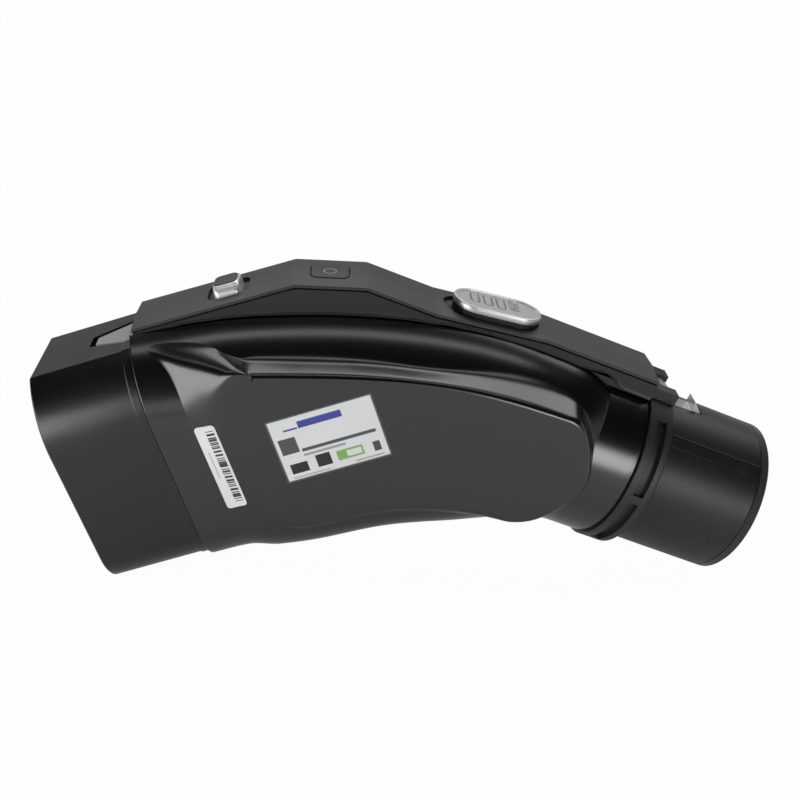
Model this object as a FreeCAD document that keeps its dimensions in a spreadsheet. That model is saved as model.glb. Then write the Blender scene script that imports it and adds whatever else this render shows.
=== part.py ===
"""DC charging adapter: an angled black body with a hollow combined inlet at its
left end and a round 70 mm plug at its right end.

The part lies as it rests on a floor, on the inlet's front lower edge and on the
plug's lower rim. X runs from the inlet to the plug, Y away from the side with the
labels and Z up. Lengths are in millimetres.

Two straight axes leave the bend of the body: the inlet's axis falls to the left and
the plug's axis falls to the right, both by the same tilt.
"""
import FreeCAD
import Part
import math
import os

V = FreeCAD.Vector

doc = FreeCAD.newDocument("charging_adapter")
sheet = doc.addObject("Spreadsheet::Sheet", "sizes")

SIZES = [
    # Stance and bend
    ("tilt_angle", 20.0),
    ("span_length", 308.73),
    ("bend_radius", 200.0),
    ("axis_drop", 48.7),
    # Inlet cap, measured from its flat top
    ("cap_height", 97.4),
    ("cap_depth", 44.7),
    ("cap_wall", 3.4),
    ("cap_top_radius", 37.1),
    ("cap_top_drop", 31.5),
    ("cap_foot_radius", 15.3),
    ("cap_foot_spread", 23.5),
    ("cap_band_width", 3.6),
    ("cap_band_proud", 0.5),
    ("cap_spigot_length", 3.0),
    ("inlet_depth", 36.0),
    # Body shells
    ("shell_wall", 3.0),
    ("shell_radius", 39.0),
    ("pillow_half_width", 41.4),
    ("pillow_edge_radius", 2.2),
    ("neck_radius", 38.0),
    ("neck_start", 63.0),
    ("neck_length", 36.0),
    ("neck_bore_radius", 35.1),
    # Spine
    ("cover_half_width", 13.2),
    ("cover_thickness", 1.9),
    ("base_half_width", 14.6),
    # Plug
    ("barrel_radius", 35.0),
    ("edge_break", 0.6),
    ("barrel_wall", 3.2),
    ("barrel_length", 49.6),
    ("barrel_tail", 24.0),
    ("barrel_floor", 38.0),
    ("collar_radius", 39.3),
    ("collar_length", 10.8),
    ("collar_gap", 0.3),
    ("window_width", 4.9),
    ("window_depth", 2.6),
    ("cheek_inner", 6.2),
    ("cheek_outer", 12.9),
    ("cheek_top", 41.7),
    # Latch
    ("latch_half_width", 4.5),
    ("latch_clearance", 0.4),
    ("pivot_distance", 54.3),
    ("pivot_rise", 37.5),
    ("pivot_radius", 1.2),
    ("pivot_clearance", 0.05),
    # Controls
    ("knob_width", 16.0),
    ("knob_length", 11.0),
    ("knob_rise", 4.2),
    ("knob_travel", 2.2),
    ("button_width", 14.0),
    ("button_length", 16.0),
    ("button_travel", 0.8),
    ("slider_width", 20.0),
    ("slider_length", 38.6),
    ("slider_rise", 3.0),
    ("slider_travel", 3.2),
    ("slide_gap", 0.3),
    # Inlet contacts
    ("pilot_radius", 1.5),
    ("earth_radius", 3.0),
    ("power_radius", 4.0),
    ("power_pitch", 27.0),
    ("power_drop", 70.0),
    # Plug contacts
    ("socket_radius", 4.5),
    ("socket_tube_radius", 9.0),
    ("socket_pitch", 29.0),
    ("signal_radius", 0.9),
    # Labels
    ("rating_length", 43.7),
    ("rating_height", 29.2),
    ("serial_length", 9.0),
    ("serial_height", 40.0),
    ("label_thickness", 0.25),
]
for row, (alias, value) in enumerate(SIZES, start=1):
    sheet.set("A%d" % row, alias)
    sheet.set("B%d" % row, "%g" % value)
    sheet.setAlias("B%d" % row, alias)
doc.recompute()


def size(alias):
    """Return one driving dimension from the sheet as a plain number."""
    return float(sheet.get(alias))


TILT = math.radians(size("tilt_angle"))
COS, SIN = math.cos(TILT), math.sin(TILT)
SPAN = size("span_length")
BREAK = size("edge_break")

# The inlet frame has x into the body from the cap's face, z up from the cap's flat
# top. The plug frame has x out of the plug's mouth and z away from its axis.
INLET_X = -(SPAN + (size("barrel_radius") - BREAK) * SIN) / 2
INLET = FreeCAD.Placement(
    V(INLET_X, 0, size("cap_height") * COS - BREAK * SIN),
    FreeCAD.Rotation(V(0, 1, 0), -size("tilt_angle")))
PLUG = FreeCAD.Placement(
    V(INLET_X + SPAN, 0, size("barrel_radius") * COS - BREAK * SIN),
    FreeCAD.Rotation(V(0, 1, 0), size("tilt_angle")))
ALONG_X = FreeCAD.Rotation(V(0, 1, 0), 90)
ALONG_Y = FreeCAD.Rotation(V(1, 0, 0), -90)

# The body's centre line: straight from the seam behind the cap, an arc, and straight
# again to the end of the neck.
SEAM = size("cap_depth") + size("collar_gap")
PATH_START = INLET.multVec(V(SEAM, 0, -size("axis_drop")))
PATH_END = PLUG.multVec(V(-size("neck_start"), 0, 0))
RADIUS = size("bend_radius")
GAP_X = PATH_END.x - PATH_START.x
GAP_Z = PATH_END.z - PATH_START.z
LEG_SUM = GAP_X / COS
LEG_DIFF = GAP_Z / SIN
TANGENT = RADIUS * math.tan(TILT)
LEAD_IN = (LEG_SUM + LEG_DIFF) / 2 - TANGENT
LEAD_OUT = (LEG_SUM - LEG_DIFF) / 2 - TANGENT
ARC = RADIUS * 2 * TILT
PATH_LENGTH = LEAD_IN + ARC + LEAD_OUT


def path_frame(run):
    """Return the centre line's point and its upward normal at a length along it."""
    forward = V(COS, 0, SIN)
    up = V(-SIN, 0, COS)
    if run <= LEAD_IN:
        return PATH_START + forward * run, up
    arc_start = PATH_START + forward * LEAD_IN
    centre = arc_start - up * RADIUS
    turn = min(run - LEAD_IN, ARC) / RADIUS
    angle = TILT - turn
    up = V(-math.sin(angle), 0, math.cos(angle))
    point = centre + up * RADIUS
    if run > LEAD_IN + ARC:
        point = point + V(math.cos(angle), 0, math.sin(angle)) * (run - LEAD_IN - ARC)
    return point, up


def on_path(run, y, rise):
    """Return the point at a length along the centre line, across it and above it."""
    point, up = path_frame(run)
    return point + up * rise + V(0, y, 0)


def run_of(distance):
    """Return the centre line length that lies this far behind the plug's mouth."""
    return PATH_LENGTH - (distance - size("neck_start"))


# Small features whose sizes are bound to the sheet, and how they join.
def bind(obj, **expressions):
    """Bind properties of a feature to expressions on the sheet."""
    for name, expression in expressions.items():
        obj.setExpression(name, expression)
    return obj


def cylinder(name, radius, length, x=0.0, y=0.0, z=0.0, along=ALONG_X):
    """Add a cylinder with bound radius and length that starts at x, y, z."""
    obj = doc.addObject("Part::Cylinder", name)
    bind(obj, Radius=radius, Height=length)
    obj.Placement = FreeCAD.Placement(V(x, y, z), along)
    return obj


def block(name, x0, x1, y0, y1, z0, z1):
    """Add a box between two corners given as plain numbers."""
    obj = doc.addObject("Part::Box", name)
    obj.Length, obj.Width, obj.Height = x1 - x0, y1 - y0, z1 - z0
    obj.Placement = FreeCAD.Placement(V(x0, y0, z0), FreeCAD.Rotation())
    return obj


def fuse(name, *objects):
    """Add the union of some features."""
    obj = doc.addObject("Part::MultiFuse", name)
    obj.Shapes = list(objects)
    obj.Refine = True
    return obj


def cut(name, base, tool):
    """Add one feature less another."""
    obj = doc.addObject("Part::Cut", name)
    obj.Base, obj.Tool = base, tool
    obj.Refine = True
    return obj


def set_shape(name, shape):
    """Add a feature that holds a shape computed from the sheet's values."""
    obj = doc.addObject("Part::Feature", name)
    obj.Shape = shape
    return obj


def prism(name, points, half_width_expression, offset=0.0):
    """Add a side-view polygon in XZ drawn out both ways along Y by a bound width."""
    corners = [V(point[0], offset, point[1]) for point in points]
    outline = set_shape(name + "_outline", Part.makePolygon(corners + corners[:1]))
    obj = doc.addObject("Part::Extrusion", name)
    obj.Base = outline
    obj.DirMode = "Custom"
    obj.Dir = V(0, 1, 0)
    obj.Solid = True
    bind(obj, LengthFwd=half_width_expression, LengthRev=half_width_expression)
    return obj


def deliver(obj, label, placement=None):
    """Name a finished sub-part and put it in its place."""
    if placement is not None:
        obj.Placement = placement.multiply(obj.Placement)
    obj.Label = label
    PARTS.append(obj)
    return obj


PARTS = []


# Outline of the inlet sleeve: a circle cut flat at its top, with two round feet.
def sleeve_wire(grow, x):
    """Return the sleeve's outline in the YZ plane at x, grown by an amount."""
    top = size("cap_top_radius") + grow
    drop = size("cap_top_drop")
    foot = size("cap_foot_radius") + grow
    spread = size("cap_foot_spread")
    foot_z = -(size("cap_height") - size("cap_foot_radius"))
    flat = math.sqrt(top ** 2 - (drop + grow) ** 2)
    a, b = -drop - foot_z, spread
    turn = math.atan2(b, a) + math.asin((foot - top) / math.hypot(a, b))
    side = V(x, math.cos(turn), math.sin(turn))

    def at(cy, cz, radius, angle, mirror):
        return V(x, mirror * (cy + radius * math.cos(angle)), cz + radius * math.sin(angle))

    edges = []
    flat_angle = math.asin((drop + grow) / top)
    half = (flat_angle + turn) / 2
    low = (turn - math.pi / 2) / 2
    edges.append(Part.makeLine(V(x, -flat, grow), V(x, flat, grow)))
    for mirror in (1, -1):
        edges.append(Part.Arc(at(0, -drop, top, flat_angle, mirror), at(0, -drop, top, half, mirror),
                              at(0, -drop, top, turn, mirror)).toShape())
        edges.append(Part.makeLine(at(0, -drop, top, turn, mirror), at(spread, foot_z, foot, turn, mirror)))
        edges.append(Part.Arc(at(spread, foot_z, foot, turn, mirror), at(spread, foot_z, foot, low, mirror),
                              at(spread, foot_z, foot, -math.pi / 2, mirror)).toShape())
    edges.append(Part.makeLine(V(x, -spread, foot_z - foot), V(x, spread, foot_z - foot)))
    return Part.Wire(Part.__sortEdges__(edges))


def sleeve_prism(name, grow, x, length):
    """Add the sleeve's outline drawn out along x by a bound length."""
    outline = set_shape(name + "_outline", sleeve_wire(grow, x))
    obj = doc.addObject("Part::Extrusion", name)
    obj.Base = outline
    obj.DirMode = "Custom"
    obj.Dir = V(1, 0, 0)
    obj.Solid = True
    bind(obj, LengthFwd=length)
    return obj


# Inlet cap: the hollow sleeve that takes the cable's plug, with a raised rear band,
# a spigot into the body and a tapered notch in its top for the lock plate.
DEPTH = size("cap_depth")
WALL = size("cap_wall")
SPIGOT_INSET = -2.0
NOTCH_START = 23.6
NOTCH_NARROW = 5.0
NOTCH_WIDE = 10.6
NOTCH_DEPTH = 2.4
NOTCH_WIDE_X = 39.5
cap_body = sleeve_prism("cap_body", 0.0, 0.0, "sizes.cap_depth")
BAND_X = DEPTH - size("cap_band_width")
cap_band = sleeve_prism("cap_band", size("cap_band_proud"), BAND_X, "sizes.cap_band_width")
cap_spigot = sleeve_prism("cap_spigot", SPIGOT_INSET, DEPTH - 0.5, "sizes.cap_spigot_length + 0.5")
cap_solid = fuse("cap_solid", cap_body, cap_band, cap_spigot)
cap_bore = sleeve_prism("cap_bore", -WALL, -5.0, "sizes.cap_depth + sizes.cap_spigot_length + 20")
notch_wire = Part.makePolygon([
    V(NOTCH_START, -NOTCH_NARROW, -NOTCH_DEPTH), V(NOTCH_WIDE_X, -NOTCH_WIDE, -NOTCH_DEPTH),
    V(DEPTH + 12, -NOTCH_WIDE, -NOTCH_DEPTH), V(DEPTH + 12, NOTCH_WIDE, -NOTCH_DEPTH),
    V(NOTCH_WIDE_X, NOTCH_WIDE, -NOTCH_DEPTH), V(NOTCH_START, NOTCH_NARROW, -NOTCH_DEPTH),
    V(NOTCH_START, -NOTCH_NARROW, -NOTCH_DEPTH)])
notch = set_shape("cap_notch", Part.Face(notch_wire).extrude(V(0, 0, NOTCH_DEPTH + 3)))
cap_cuts = fuse("cap_cuts", cap_bore, notch)
cap = cut("cap", cap_solid, cap_cuts)
doc.recompute()
front_edges = [i + 1 for i, edge in enumerate(cap.Shape.Edges)
               if abs(edge.BoundBox.XMax) < 1e-6 and abs(edge.BoundBox.XMin) < 1e-6]
cap_chamfer = doc.addObject("Part::Chamfer", "cap_chamfer")
cap_chamfer.Base = cap
cap_chamfer.Edges = [(i, BREAK, BREAK) for i in front_edges]
deliver(cap_chamfer, "inlet_cap", INLET)

# Inlet block: the insulator in the sleeve. A base plate fills the sleeve; on it stand
# a round tower with seven wells and two towers for the power pins.
TOWER_RADIUS = 24.0
TOWER_TOP = 18.6
BASE_THICK = 10.5
FACE_X = DEPTH - size("inlet_depth")
BASE_X = DEPTH - BASE_THICK
CENTRE_Z = -size("cap_top_drop")
PITCH = size("power_pitch") / 2
POWER_Z = -size("power_drop")
EARTH_WELL = 6.3
PILOT_WELL = 4.2
POWER_WELL = 8.6
POWER_TOWER = 10.8
WELL_FLOOR = BASE_X - 3.0
AC_WELLS = ((0, 0), (-16, 0), (16, 0), (-8.1, -13.9), (8.1, -13.9))
PILOTS = ((-8.0, 12.4), (8.0, 12.4))


def round_bar(name, radius, x0, x1, y, z):
    """Add a cylinder along x between two stations from plain numbers."""
    obj = doc.addObject("Part::Cylinder", name)
    obj.Radius, obj.Height = radius, x1 - x0
    obj.Placement = FreeCAD.Placement(V(x0, y, z), ALONG_X)
    return obj


base_plate = sleeve_prism("inlet_plate", -WALL - size("slide_gap"), BASE_X, "%g" % BASE_THICK)
base_holes = [round_bar("base_hole_%d" % i, size("power_radius"), BASE_X - 1, DEPTH + 1, y, POWER_Z)
              for i, y in enumerate((-PITCH, PITCH))]
deliver(cut("inlet_base_cut", base_plate, fuse("base_holes", *base_holes)), "inlet_base", INLET)
tower = round_bar("tower_round", TOWER_RADIUS, FACE_X, BASE_X, 0, CENTRE_Z)
wells = [block("tower_flat", FACE_X - 1, BASE_X + 1, -30, 30, CENTRE_Z + TOWER_TOP, CENTRE_Z + 40)]
POWER_ROOM = POWER_TOWER + size("slide_gap")
wells += [round_bar("power_room_%d" % i, POWER_ROOM, FACE_X - 1, BASE_X + 1, y, POWER_Z)
          for i, y in enumerate((-PITCH, PITCH))]
wells += [round_bar("ac_well_%d" % i, EARTH_WELL, FACE_X - 1, WELL_FLOOR, y, CENTRE_Z + z)
          for i, (y, z) in enumerate(AC_WELLS)]
wells += [round_bar("pilot_well_%d" % i, PILOT_WELL, FACE_X - 1, WELL_FLOOR, y, CENTRE_Z + z)
          for i, (y, z) in enumerate(PILOTS)]
deliver(cut("tower_cut", tower, fuse("tower_wells", *wells)), "inlet_tower", INLET)
for index, y in enumerate((-PITCH, PITCH), start=1):
    shaft = round_bar("power_shaft_%d" % index, POWER_TOWER, FACE_X, BASE_X, y, POWER_Z)
    well = round_bar("power_well_%d" % index, POWER_WELL, FACE_X - 1, WELL_FLOOR, y, POWER_Z)
    hole = round_bar("power_hole_%d" % index, size("power_radius"), FACE_X, BASE_X + 1, y, POWER_Z)
    deliver(cut("power_tower_cut_%d" % index, shaft, fuse("power_room_cut_%d" % index, well, hole)),
            "power_tower_%d" % index, INLET)


def contact_pin(label, radius_alias, x0, x1, y, z):
    """Add one round contact pin with a coned tip, bound to its radius."""
    radius = size(radius_alias)
    shaft = doc.addObject("Part::Cylinder", label + "_shaft")
    bind(shaft, Radius="sizes." + radius_alias)
    shaft.Height = x1 - x0 - radius * 0.5
    shaft.Placement = FreeCAD.Placement(V(x0 + radius * 0.5, y, z), ALONG_X)
    tip = doc.addObject("Part::Cone", label + "_tip")
    bind(tip, Radius1="sizes." + radius_alias + " * 0.6", Radius2="sizes." + radius_alias)
    tip.Height = radius * 0.5
    tip.Placement = FreeCAD.Placement(V(x0, y, z), ALONG_X)
    deliver(fuse(label + "_solid", shaft, tip), label, INLET)


contact_pin("earth_pin", "earth_radius", FACE_X + 5, WELL_FLOOR, 0, CENTRE_Z)
contact_pin("pilot_pin_1", "pilot_radius", FACE_X + 8, WELL_FLOOR, PILOTS[0][0], CENTRE_Z + PILOTS[0][1])
contact_pin("pilot_pin_2", "pilot_radius", FACE_X + 8, WELL_FLOOR, PILOTS[1][0], CENTRE_Z + PILOTS[1][1])
contact_pin("dc_pin_1", "power_radius", FACE_X + 4, DEPTH, -PITCH, POWER_Z)
contact_pin("dc_pin_2", "power_radius", FACE_X + 4, DEPTH, PITCH, POWER_Z)


# Body shells. Each half is a loft of sections along the centre line: a round upper
# lobe cut flat under the spine, and a foot corner that fades into the round neck.
# Columns: run, lobe radius, lobe rise, foot spread, foot drop, foot radius.
LOBE = size("shell_radius")
FLAT_HALF = 15.5
STATIONS = (
    (0.0, LOBE, 17.2, 23.5, 33.4, 17.3),
    (PATH_LENGTH * 0.085, LOBE, 14.9, 24.2, 34.9, 16.2),
    (PATH_LENGTH * 0.173, LOBE, 12.6, 27.0, 39.5, 14.0),
    (PATH_LENGTH * 0.305, LOBE, 9.0, 28.5, 41.0, 12.0),
    (PATH_LENGTH * 0.478, LOBE, 6.3, 27.5, 35.5, 12.5),
    (PATH_LENGTH * 0.650, LOBE, 5.8, 23.5, 27.5, 16.0),
    (PATH_LENGTH * 0.762, LOBE, 5.0, 14.0, 17.0, 24.3),
    (PATH_LENGTH * 0.854, LOBE - 0.4, 3.5, 5.0, 6.0, 32.8),
    (PATH_LENGTH * 0.925, LOBE - 1.4, 0.5, 1.0, 1.0, 36.4),
)


def station_at(run):
    """Return a section's sizes at any run: a smooth curve through the table's rows."""
    index = max(i for i in range(len(STATIONS) - 1) if STATIONS[i][0] <= run or i == 0)
    index = min(index, len(STATIONS) - 2)
    first, second = STATIONS[index], STATIONS[index + 1]
    before = STATIONS[max(index - 1, 0)]
    after = STATIONS[min(index + 2, len(STATIONS) - 1)]
    span = second[0] - first[0]
    share = (run - first[0]) / span
    values = []
    for k in range(1, 6):
        slope_1 = (second[k] - before[k]) / (second[0] - before[0]) * span
        slope_2 = (after[k] - first[k]) / (after[0] - first[0]) * span
        a = 2 * share ** 3 - 3 * share ** 2 + 1
        b = share ** 3 - 2 * share ** 2 + share
        c = 3 * share ** 2 - 2 * share ** 3
        d = share ** 3 - share ** 2
        values.append(a * first[k] + b * slope_1 + c * second[k] + d * slope_2)
    return (run,) + tuple(values)


def section_points(station, inset, inner_y, side):
    """Return one half section's corner points and two functions for its arcs."""
    run, lobe, lobe_rise, spread, drop, foot = station
    lobe = lobe - inset
    foot = foot - inset
    top = lobe_rise + math.sqrt((lobe + inset) ** 2 - FLAT_HALF ** 2) - inset
    flat_angle = math.asin((top - lobe_rise) / lobe)
    height = lobe_rise + drop
    turn = math.atan2(spread, height) + math.asin((foot - lobe) / math.hypot(height, spread))

    def lobe_at(angle):
        return on_path(run, side * lobe * math.cos(angle), lobe_rise + lobe * math.sin(angle))

    def foot_at(angle):
        return on_path(run, side * (spread + foot * math.cos(angle)), -drop + foot * math.sin(angle))

    top_in = on_path(run, -side * inner_y, top)
    bottom_in = on_path(run, -side * inner_y, -drop - foot)
    return top_in, bottom_in, flat_angle, turn, lobe_at, foot_at


def half_section(station, side):
    """Return the closed wire of one half of a station's outside."""
    top_in, bottom_in, flat_angle, turn, lobe_at, foot_at = section_points(station, 0.0, 0.0, side)
    low = (turn - math.pi / 2) / 2
    edges = [
        Part.makeLine(top_in, lobe_at(flat_angle)),
        Part.Arc(lobe_at(flat_angle), lobe_at((flat_angle + turn) / 2), lobe_at(turn)).toShape(),
        Part.makeLine(lobe_at(turn), foot_at(turn)),
        Part.Arc(foot_at(turn), foot_at(low), foot_at(-math.pi / 2)).toShape(),
        Part.makeLine(foot_at(-math.pi / 2), bottom_in),
        Part.makeLine(bottom_in, top_in),
    ]
    return Part.Wire(edges)


def cavity_section(station, side):
    """Return a many-sided version of the inset half section for the hidden inside."""
    wall = size("shell_wall")
    top_in, bottom_in, flat_angle, turn, lobe_at, foot_at = section_points(station, wall, 3.0, side)
    points = [top_in]
    points += [lobe_at(flat_angle + (turn - flat_angle) * i / 5) for i in range(6)]
    points += [foot_at(turn + (-math.pi / 2 - turn) * i / 3) for i in range(4)]
    points += [bottom_in, top_in]
    return Part.makePolygon(points)


LAST_RUN = STATIONS[-1][0]
LOFT_STEPS = 15
CAVITY_SHARES = (0.2, 0.4, 0.6, 0.75, 0.9)


def half_bar(radius, near, far, inner_y, side):
    """Return one half of a bar on the plug's axis between two distances."""
    bar = Part.makeCylinder(radius, far - near, V(-far, 0, 0), V(1, 0, 0), 360)
    low = -inner_y if side > 0 else -radius - 1
    keep = Part.makeBox(far - near, radius + 1 + inner_y, 2 * radius + 2, V(-far, low, -radius - 1))
    bar = bar.common(keep)
    bar.Placement = PLUG
    return bar


# Side pillow: a raised flat face whose flank falls back to the tube. Each row gives a
# corner of the face's rim as run and rise, then how far along, up and deep the flank
# has gone where it meets the tube.
PILLOW = (
    (28.5, 27.8, -13.8, 8.1, 8.4), (32.0, 32.0, -17.0, 10.5, 12.5), (37.2, 35.4, -15.0, 9.5, 15.5),
    (44.0, 33.4, -3.0, 3.2, 11.0), (59.7, 30.4, 0.0, 2.3, 10.4), (80.3, 28.5, 0.0, 2.0, 10.0),
    (97.0, 28.0, 0.0, 1.2, 9.7), (112.0, 27.6, 0.0, 1.2, 9.9), (130.0, 26.6, 0.0, 3.3, 11.7),
    (145.7, 26.0, 0.0, 4.4, 12.2), (156.0, 26.2, 0.0, 3.9, 12.4), (163.0, 25.8, 1.0, 3.3, 12.0),
    (169.8, 20.2, 1.6, 1.8, 10.0), (175.5, 10.8, 1.8, 0.8, 10.0), (178.6, 0.3, 1.6, 0.2, 10.0),
    (177.0, -9.2, 1.6, -0.6, 10.0), (171.5, -18.5, 1.4, -1.2, 10.0), (165.5, -25.0, 0.8, -1.6, 10.0),
    (157.0, -29.0, 0.2, -1.7, 10.0), (140.5, -29.6, 0.0, -1.7, 10.0), (120.0, -30.6, 0.0, -1.7, 10.0),
    (98.0, -33.0, 0.0, -1.7, 10.0), (76.0, -37.0, 0.0, -1.7, 10.0), (56.0, -40.0, -0.2, -1.7, 10.0),
    (41.0, -38.2, -1.2, -1.6, 8.0), (31.0, -30.5, -3.0, -1.4, 6.0), (26.6, -18.0, -6.0, -0.8, 4.4),
    (24.4, -4.0, -9.0, 0.0, 3.4), (23.9, 8.5, -11.0, 1.0, 3.4), (25.4, 19.4, -12.5, 3.0, 4.6),
)
PILLOW_Y = size("pillow_half_width")
ROOT_Y = 20.0
RIM = size("pillow_edge_radius")
RIM_INSET = 0.9
FOOT_SHARE = 1.25
PILLOW_MARKS = [0.0]
for row, following in zip(PILLOW, PILLOW[1:] + PILLOW[:1]):
    PILLOW_MARKS.append(PILLOW_MARKS[-1] + math.hypot(following[0] - row[0], following[1] - row[1]))


def pillow_wire(side, share_of, depth_of):
    """Return one closed outline of the pillow, placed per row by two functions."""
    points = []
    for run, rise, along, up, depth in PILLOW:
        share = share_of(along, up, depth)
        points.append(on_path(run + along * share, side * (PILLOW_Y - depth_of(depth)), rise + up * share))
    curve = Part.BSplineCurve()
    curve.interpolate(Points=points, PeriodicFlag=True, Parameters=PILLOW_MARKS)
    return Part.Wire([curve.toShape()])


def pillow_solid(side):
    """Return the pillow: root under the skin, flank, rounded rim and flat face."""
    wires = [
        pillow_wire(side, lambda along, up, depth: FOOT_SHARE, lambda depth: PILLOW_Y - ROOT_Y),
        pillow_wire(side, lambda along, up, depth: FOOT_SHARE, lambda depth: depth * FOOT_SHARE),
        pillow_wire(side, lambda along, up, depth: RIM / depth, lambda depth: RIM),
        pillow_wire(side, lambda along, up, depth: 0.0, lambda depth: RIM * 0.3),
        pillow_wire(side, lambda along, up, depth: -RIM_INSET / math.hypot(along, up), lambda depth: 0.0),
    ]
    return Part.makeLoft(wires, True, True)


def half_body(side):
    """Return one half's tube with neck, the same with its pillow, and its hollow."""
    steps = [half_section(station_at(LAST_RUN * i / LOFT_STEPS), side) for i in range(LOFT_STEPS + 1)]
    tube = Part.makeLoft(steps, True, True)
    neck_front = size("neck_start")
    neck_end = neck_front + size("neck_length")
    neck = half_bar(size("neck_radius"), neck_front, neck_end, 0, side)
    pillow = pillow_solid(side)
    stations = [(run,) + STATIONS[0][1:] for run in (-6.0, size("cap_spigot_length") + 0.5)]
    stations += [station_at(LAST_RUN * share) for share in CAVITY_SHARES]
    cavity = Part.makeLoft([cavity_section(station, side) for station in stations], True, True)
    neck_bore = half_bar(size("neck_bore_radius"), neck_front - 5, neck_end - 1.0, 3.0, side)
    plain = tube.fuse(neck).removeSplitter()
    return plain, tube.fuse([neck, pillow]).removeSplitter(), cavity.fuse(neck_bore)


near_plain, near_skin, near_inside = half_body(-1)
far_plain, far_skin, far_inside = half_body(1)
near_hollow = set_shape("near_hollow", near_inside)
near_outer = set_shape("near_outer", near_skin)
far_hollow = set_shape("far_hollow", far_inside)
far_outer = set_shape("far_outer", far_skin)
outer_full = set_shape("outer_full", near_plain.fuse(far_plain))

# Spine: a plinth on top of the body and a polygonal cover over it. Both follow one
# chain of corners, given as run along the centre line and rise above it.
SPINE = ((1.7, 55.5), (59.7, 59.5), (83.2, 56.7), (106.6, 47.2), (146.2, 46.1), (PATH_LENGTH - 0.5, 46.0))
spine_top = [on_path(run, 0, rise) for run, rise in SPINE]


def offset_chain(points, distance):
    """Return a chain of XZ points moved down square to its own edges."""
    moved = []
    for index, point in enumerate(points):
        before = points[index] - points[index - 1] if index > 0 else points[1] - points[0]
        after = points[index + 1] - points[index] if index < len(points) - 1 else before
        before.normalize()
        after.normalize()
        mean = before + after
        mean.normalize()
        down = V(mean.z, 0, -mean.x)
        moved.append(point + down * (distance / before.dot(mean)))
    return moved


def xz(points):
    """Return plain XZ pairs of some points."""
    return [(point.x, point.z) for point in points]


cover_low = offset_chain(spine_top, size("cover_thickness"))
cover_solid = prism("cover_solid", xz(spine_top) + xz(reversed(cover_low)), "sizes.cover_half_width")
base_runs = (PATH_LENGTH - 0.5, 160.0, 130.0, 100.0, 70.0, 40.0, 20.0, 1.9)
base_low = [on_path(run, 0, 24.0) for run in base_runs]
base_solid = prism("base_solid", xz(cover_low) + xz(base_low), "sizes.base_half_width")
base_fitted = cut("base_fitted", base_solid, outer_full)


def spine_frame(index, share, lift=0.0):
    """Return a frame on one facet of the spine: x along it to the plug, z out of it."""
    start, end = spine_top[index], spine_top[index + 1]
    along = end - start
    length = along.Length
    along.normalize()
    up = V(-along.z, 0, along.x)
    angle = math.degrees(math.atan2(along.z, along.x))
    origin = start + (end - start) * share + up * lift
    return FreeCAD.Placement(origin, FreeCAD.Rotation(V(0, 1, 0), -angle))


KNOB_FRAME = spine_frame(0, 0.589)
BUTTON_FRAME = spine_frame(1, 0.485)
SLIDER_FRAME = spine_frame(3, 0.54)
GAP = size("slide_gap")
TRAVEL = size("knob_travel")
KNOB_X = size("knob_length") / 2
KNOB_Y = size("knob_width") / 2
STEM_X = 2.5
STEM_Y = 3.0


def placed(obj, placement):
    """Place a tool feature and return it."""
    obj.Placement = placement.multiply(obj.Placement)
    return obj


def stadium(name, half_length, radius, z0, z1):
    """Add a rounded slot shape along x between two heights."""
    middle = block(name + "_middle", -(half_length - radius), half_length - radius, -radius, radius, z0, z1)
    ends = []
    for side in (-1, 1):
        end = doc.addObject("Part::Cylinder", "%s_end_%d" % (name, side + 1))
        end.Radius, end.Height = radius, z1 - z0
        end.Placement = FreeCAD.Placement(V(side * (half_length - radius), 0, z0), FreeCAD.Rotation())
        ends.append(end)
    return fuse(name, middle, *ends)


# Openings in the spine: the knob's slot, the button's well and the slider's longer slot.
KNOB_ROOM_X = KNOB_X + TRAVEL + 1.3
KNOB_ROOM_Y = KNOB_Y + 0.5
knob_room = block("knob_slot", -KNOB_ROOM_X, KNOB_ROOM_X, -KNOB_ROOM_Y, KNOB_ROOM_Y, -3.4, 1)
knob_slot = placed(knob_room, KNOB_FRAME)
STEM_ROOM_X = STEM_X + TRAVEL + GAP
STEM_ROOM_Y = STEM_Y + GAP
stem_room = block("stem_slot", -STEM_ROOM_X, STEM_ROOM_X, -STEM_ROOM_Y, STEM_ROOM_Y, -14, 1)
stem_slot = placed(stem_room, KNOB_FRAME)
SLIDER_R = size("slider_width") / 2
SLIDER_X = size("slider_length") / 2
SLIDE = size("slider_travel")
slider_slot = stadium("slider_slot", SLIDER_X + GAP + SLIDE / 2, SLIDER_R + GAP, -2.7, 1)
slider_slot.Placement = SLIDER_FRAME.multiply(FreeCAD.Placement(V(-SLIDE / 2, 0, 0), FreeCAD.Rotation()))
BUTTON_X = size("button_length") / 2
BUTTON_Y = size("button_width") / 2
BUTTON_ROOM_X = BUTTON_X + GAP
BUTTON_ROOM_Y = BUTTON_Y + GAP
button_room = block("button_well", -BUTTON_ROOM_X, BUTTON_ROOM_X, -BUTTON_ROOM_Y, BUTTON_ROOM_Y, -5.2, 1)
button_well = placed(button_room, BUTTON_FRAME)
PLATE_HALF = 5.0
PLATE_END = 92.0
CHANNEL_HALF = PLATE_HALF + 0.4
plate_room = block("plate_channel", DEPTH - 1, PLATE_END + 5, -CHANNEL_HALF, CHANNEL_HALF, -NOTCH_DEPTH, 0.0)
plate_channel = placed(plate_room, INLET)
tunnel = placed(block("latch_tunnel", -82.0, -50.0, -5.2, 5.2, size("neck_radius") + 0.1, 44.0), PLUG)
cover_cuts = fuse("cover_cuts", knob_slot, stem_slot, slider_slot, button_well)
spine_cover = cut("spine_cover_cut", cover_solid, cover_cuts)
deliver(spine_cover, "spine_cover")
base_cuts = fuse("base_cuts", cover_cuts, plate_channel, tunnel)
spine_base = cut("spine_base_cut", base_fitted, base_cuts)
deliver(spine_base, "spine_base")

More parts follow.
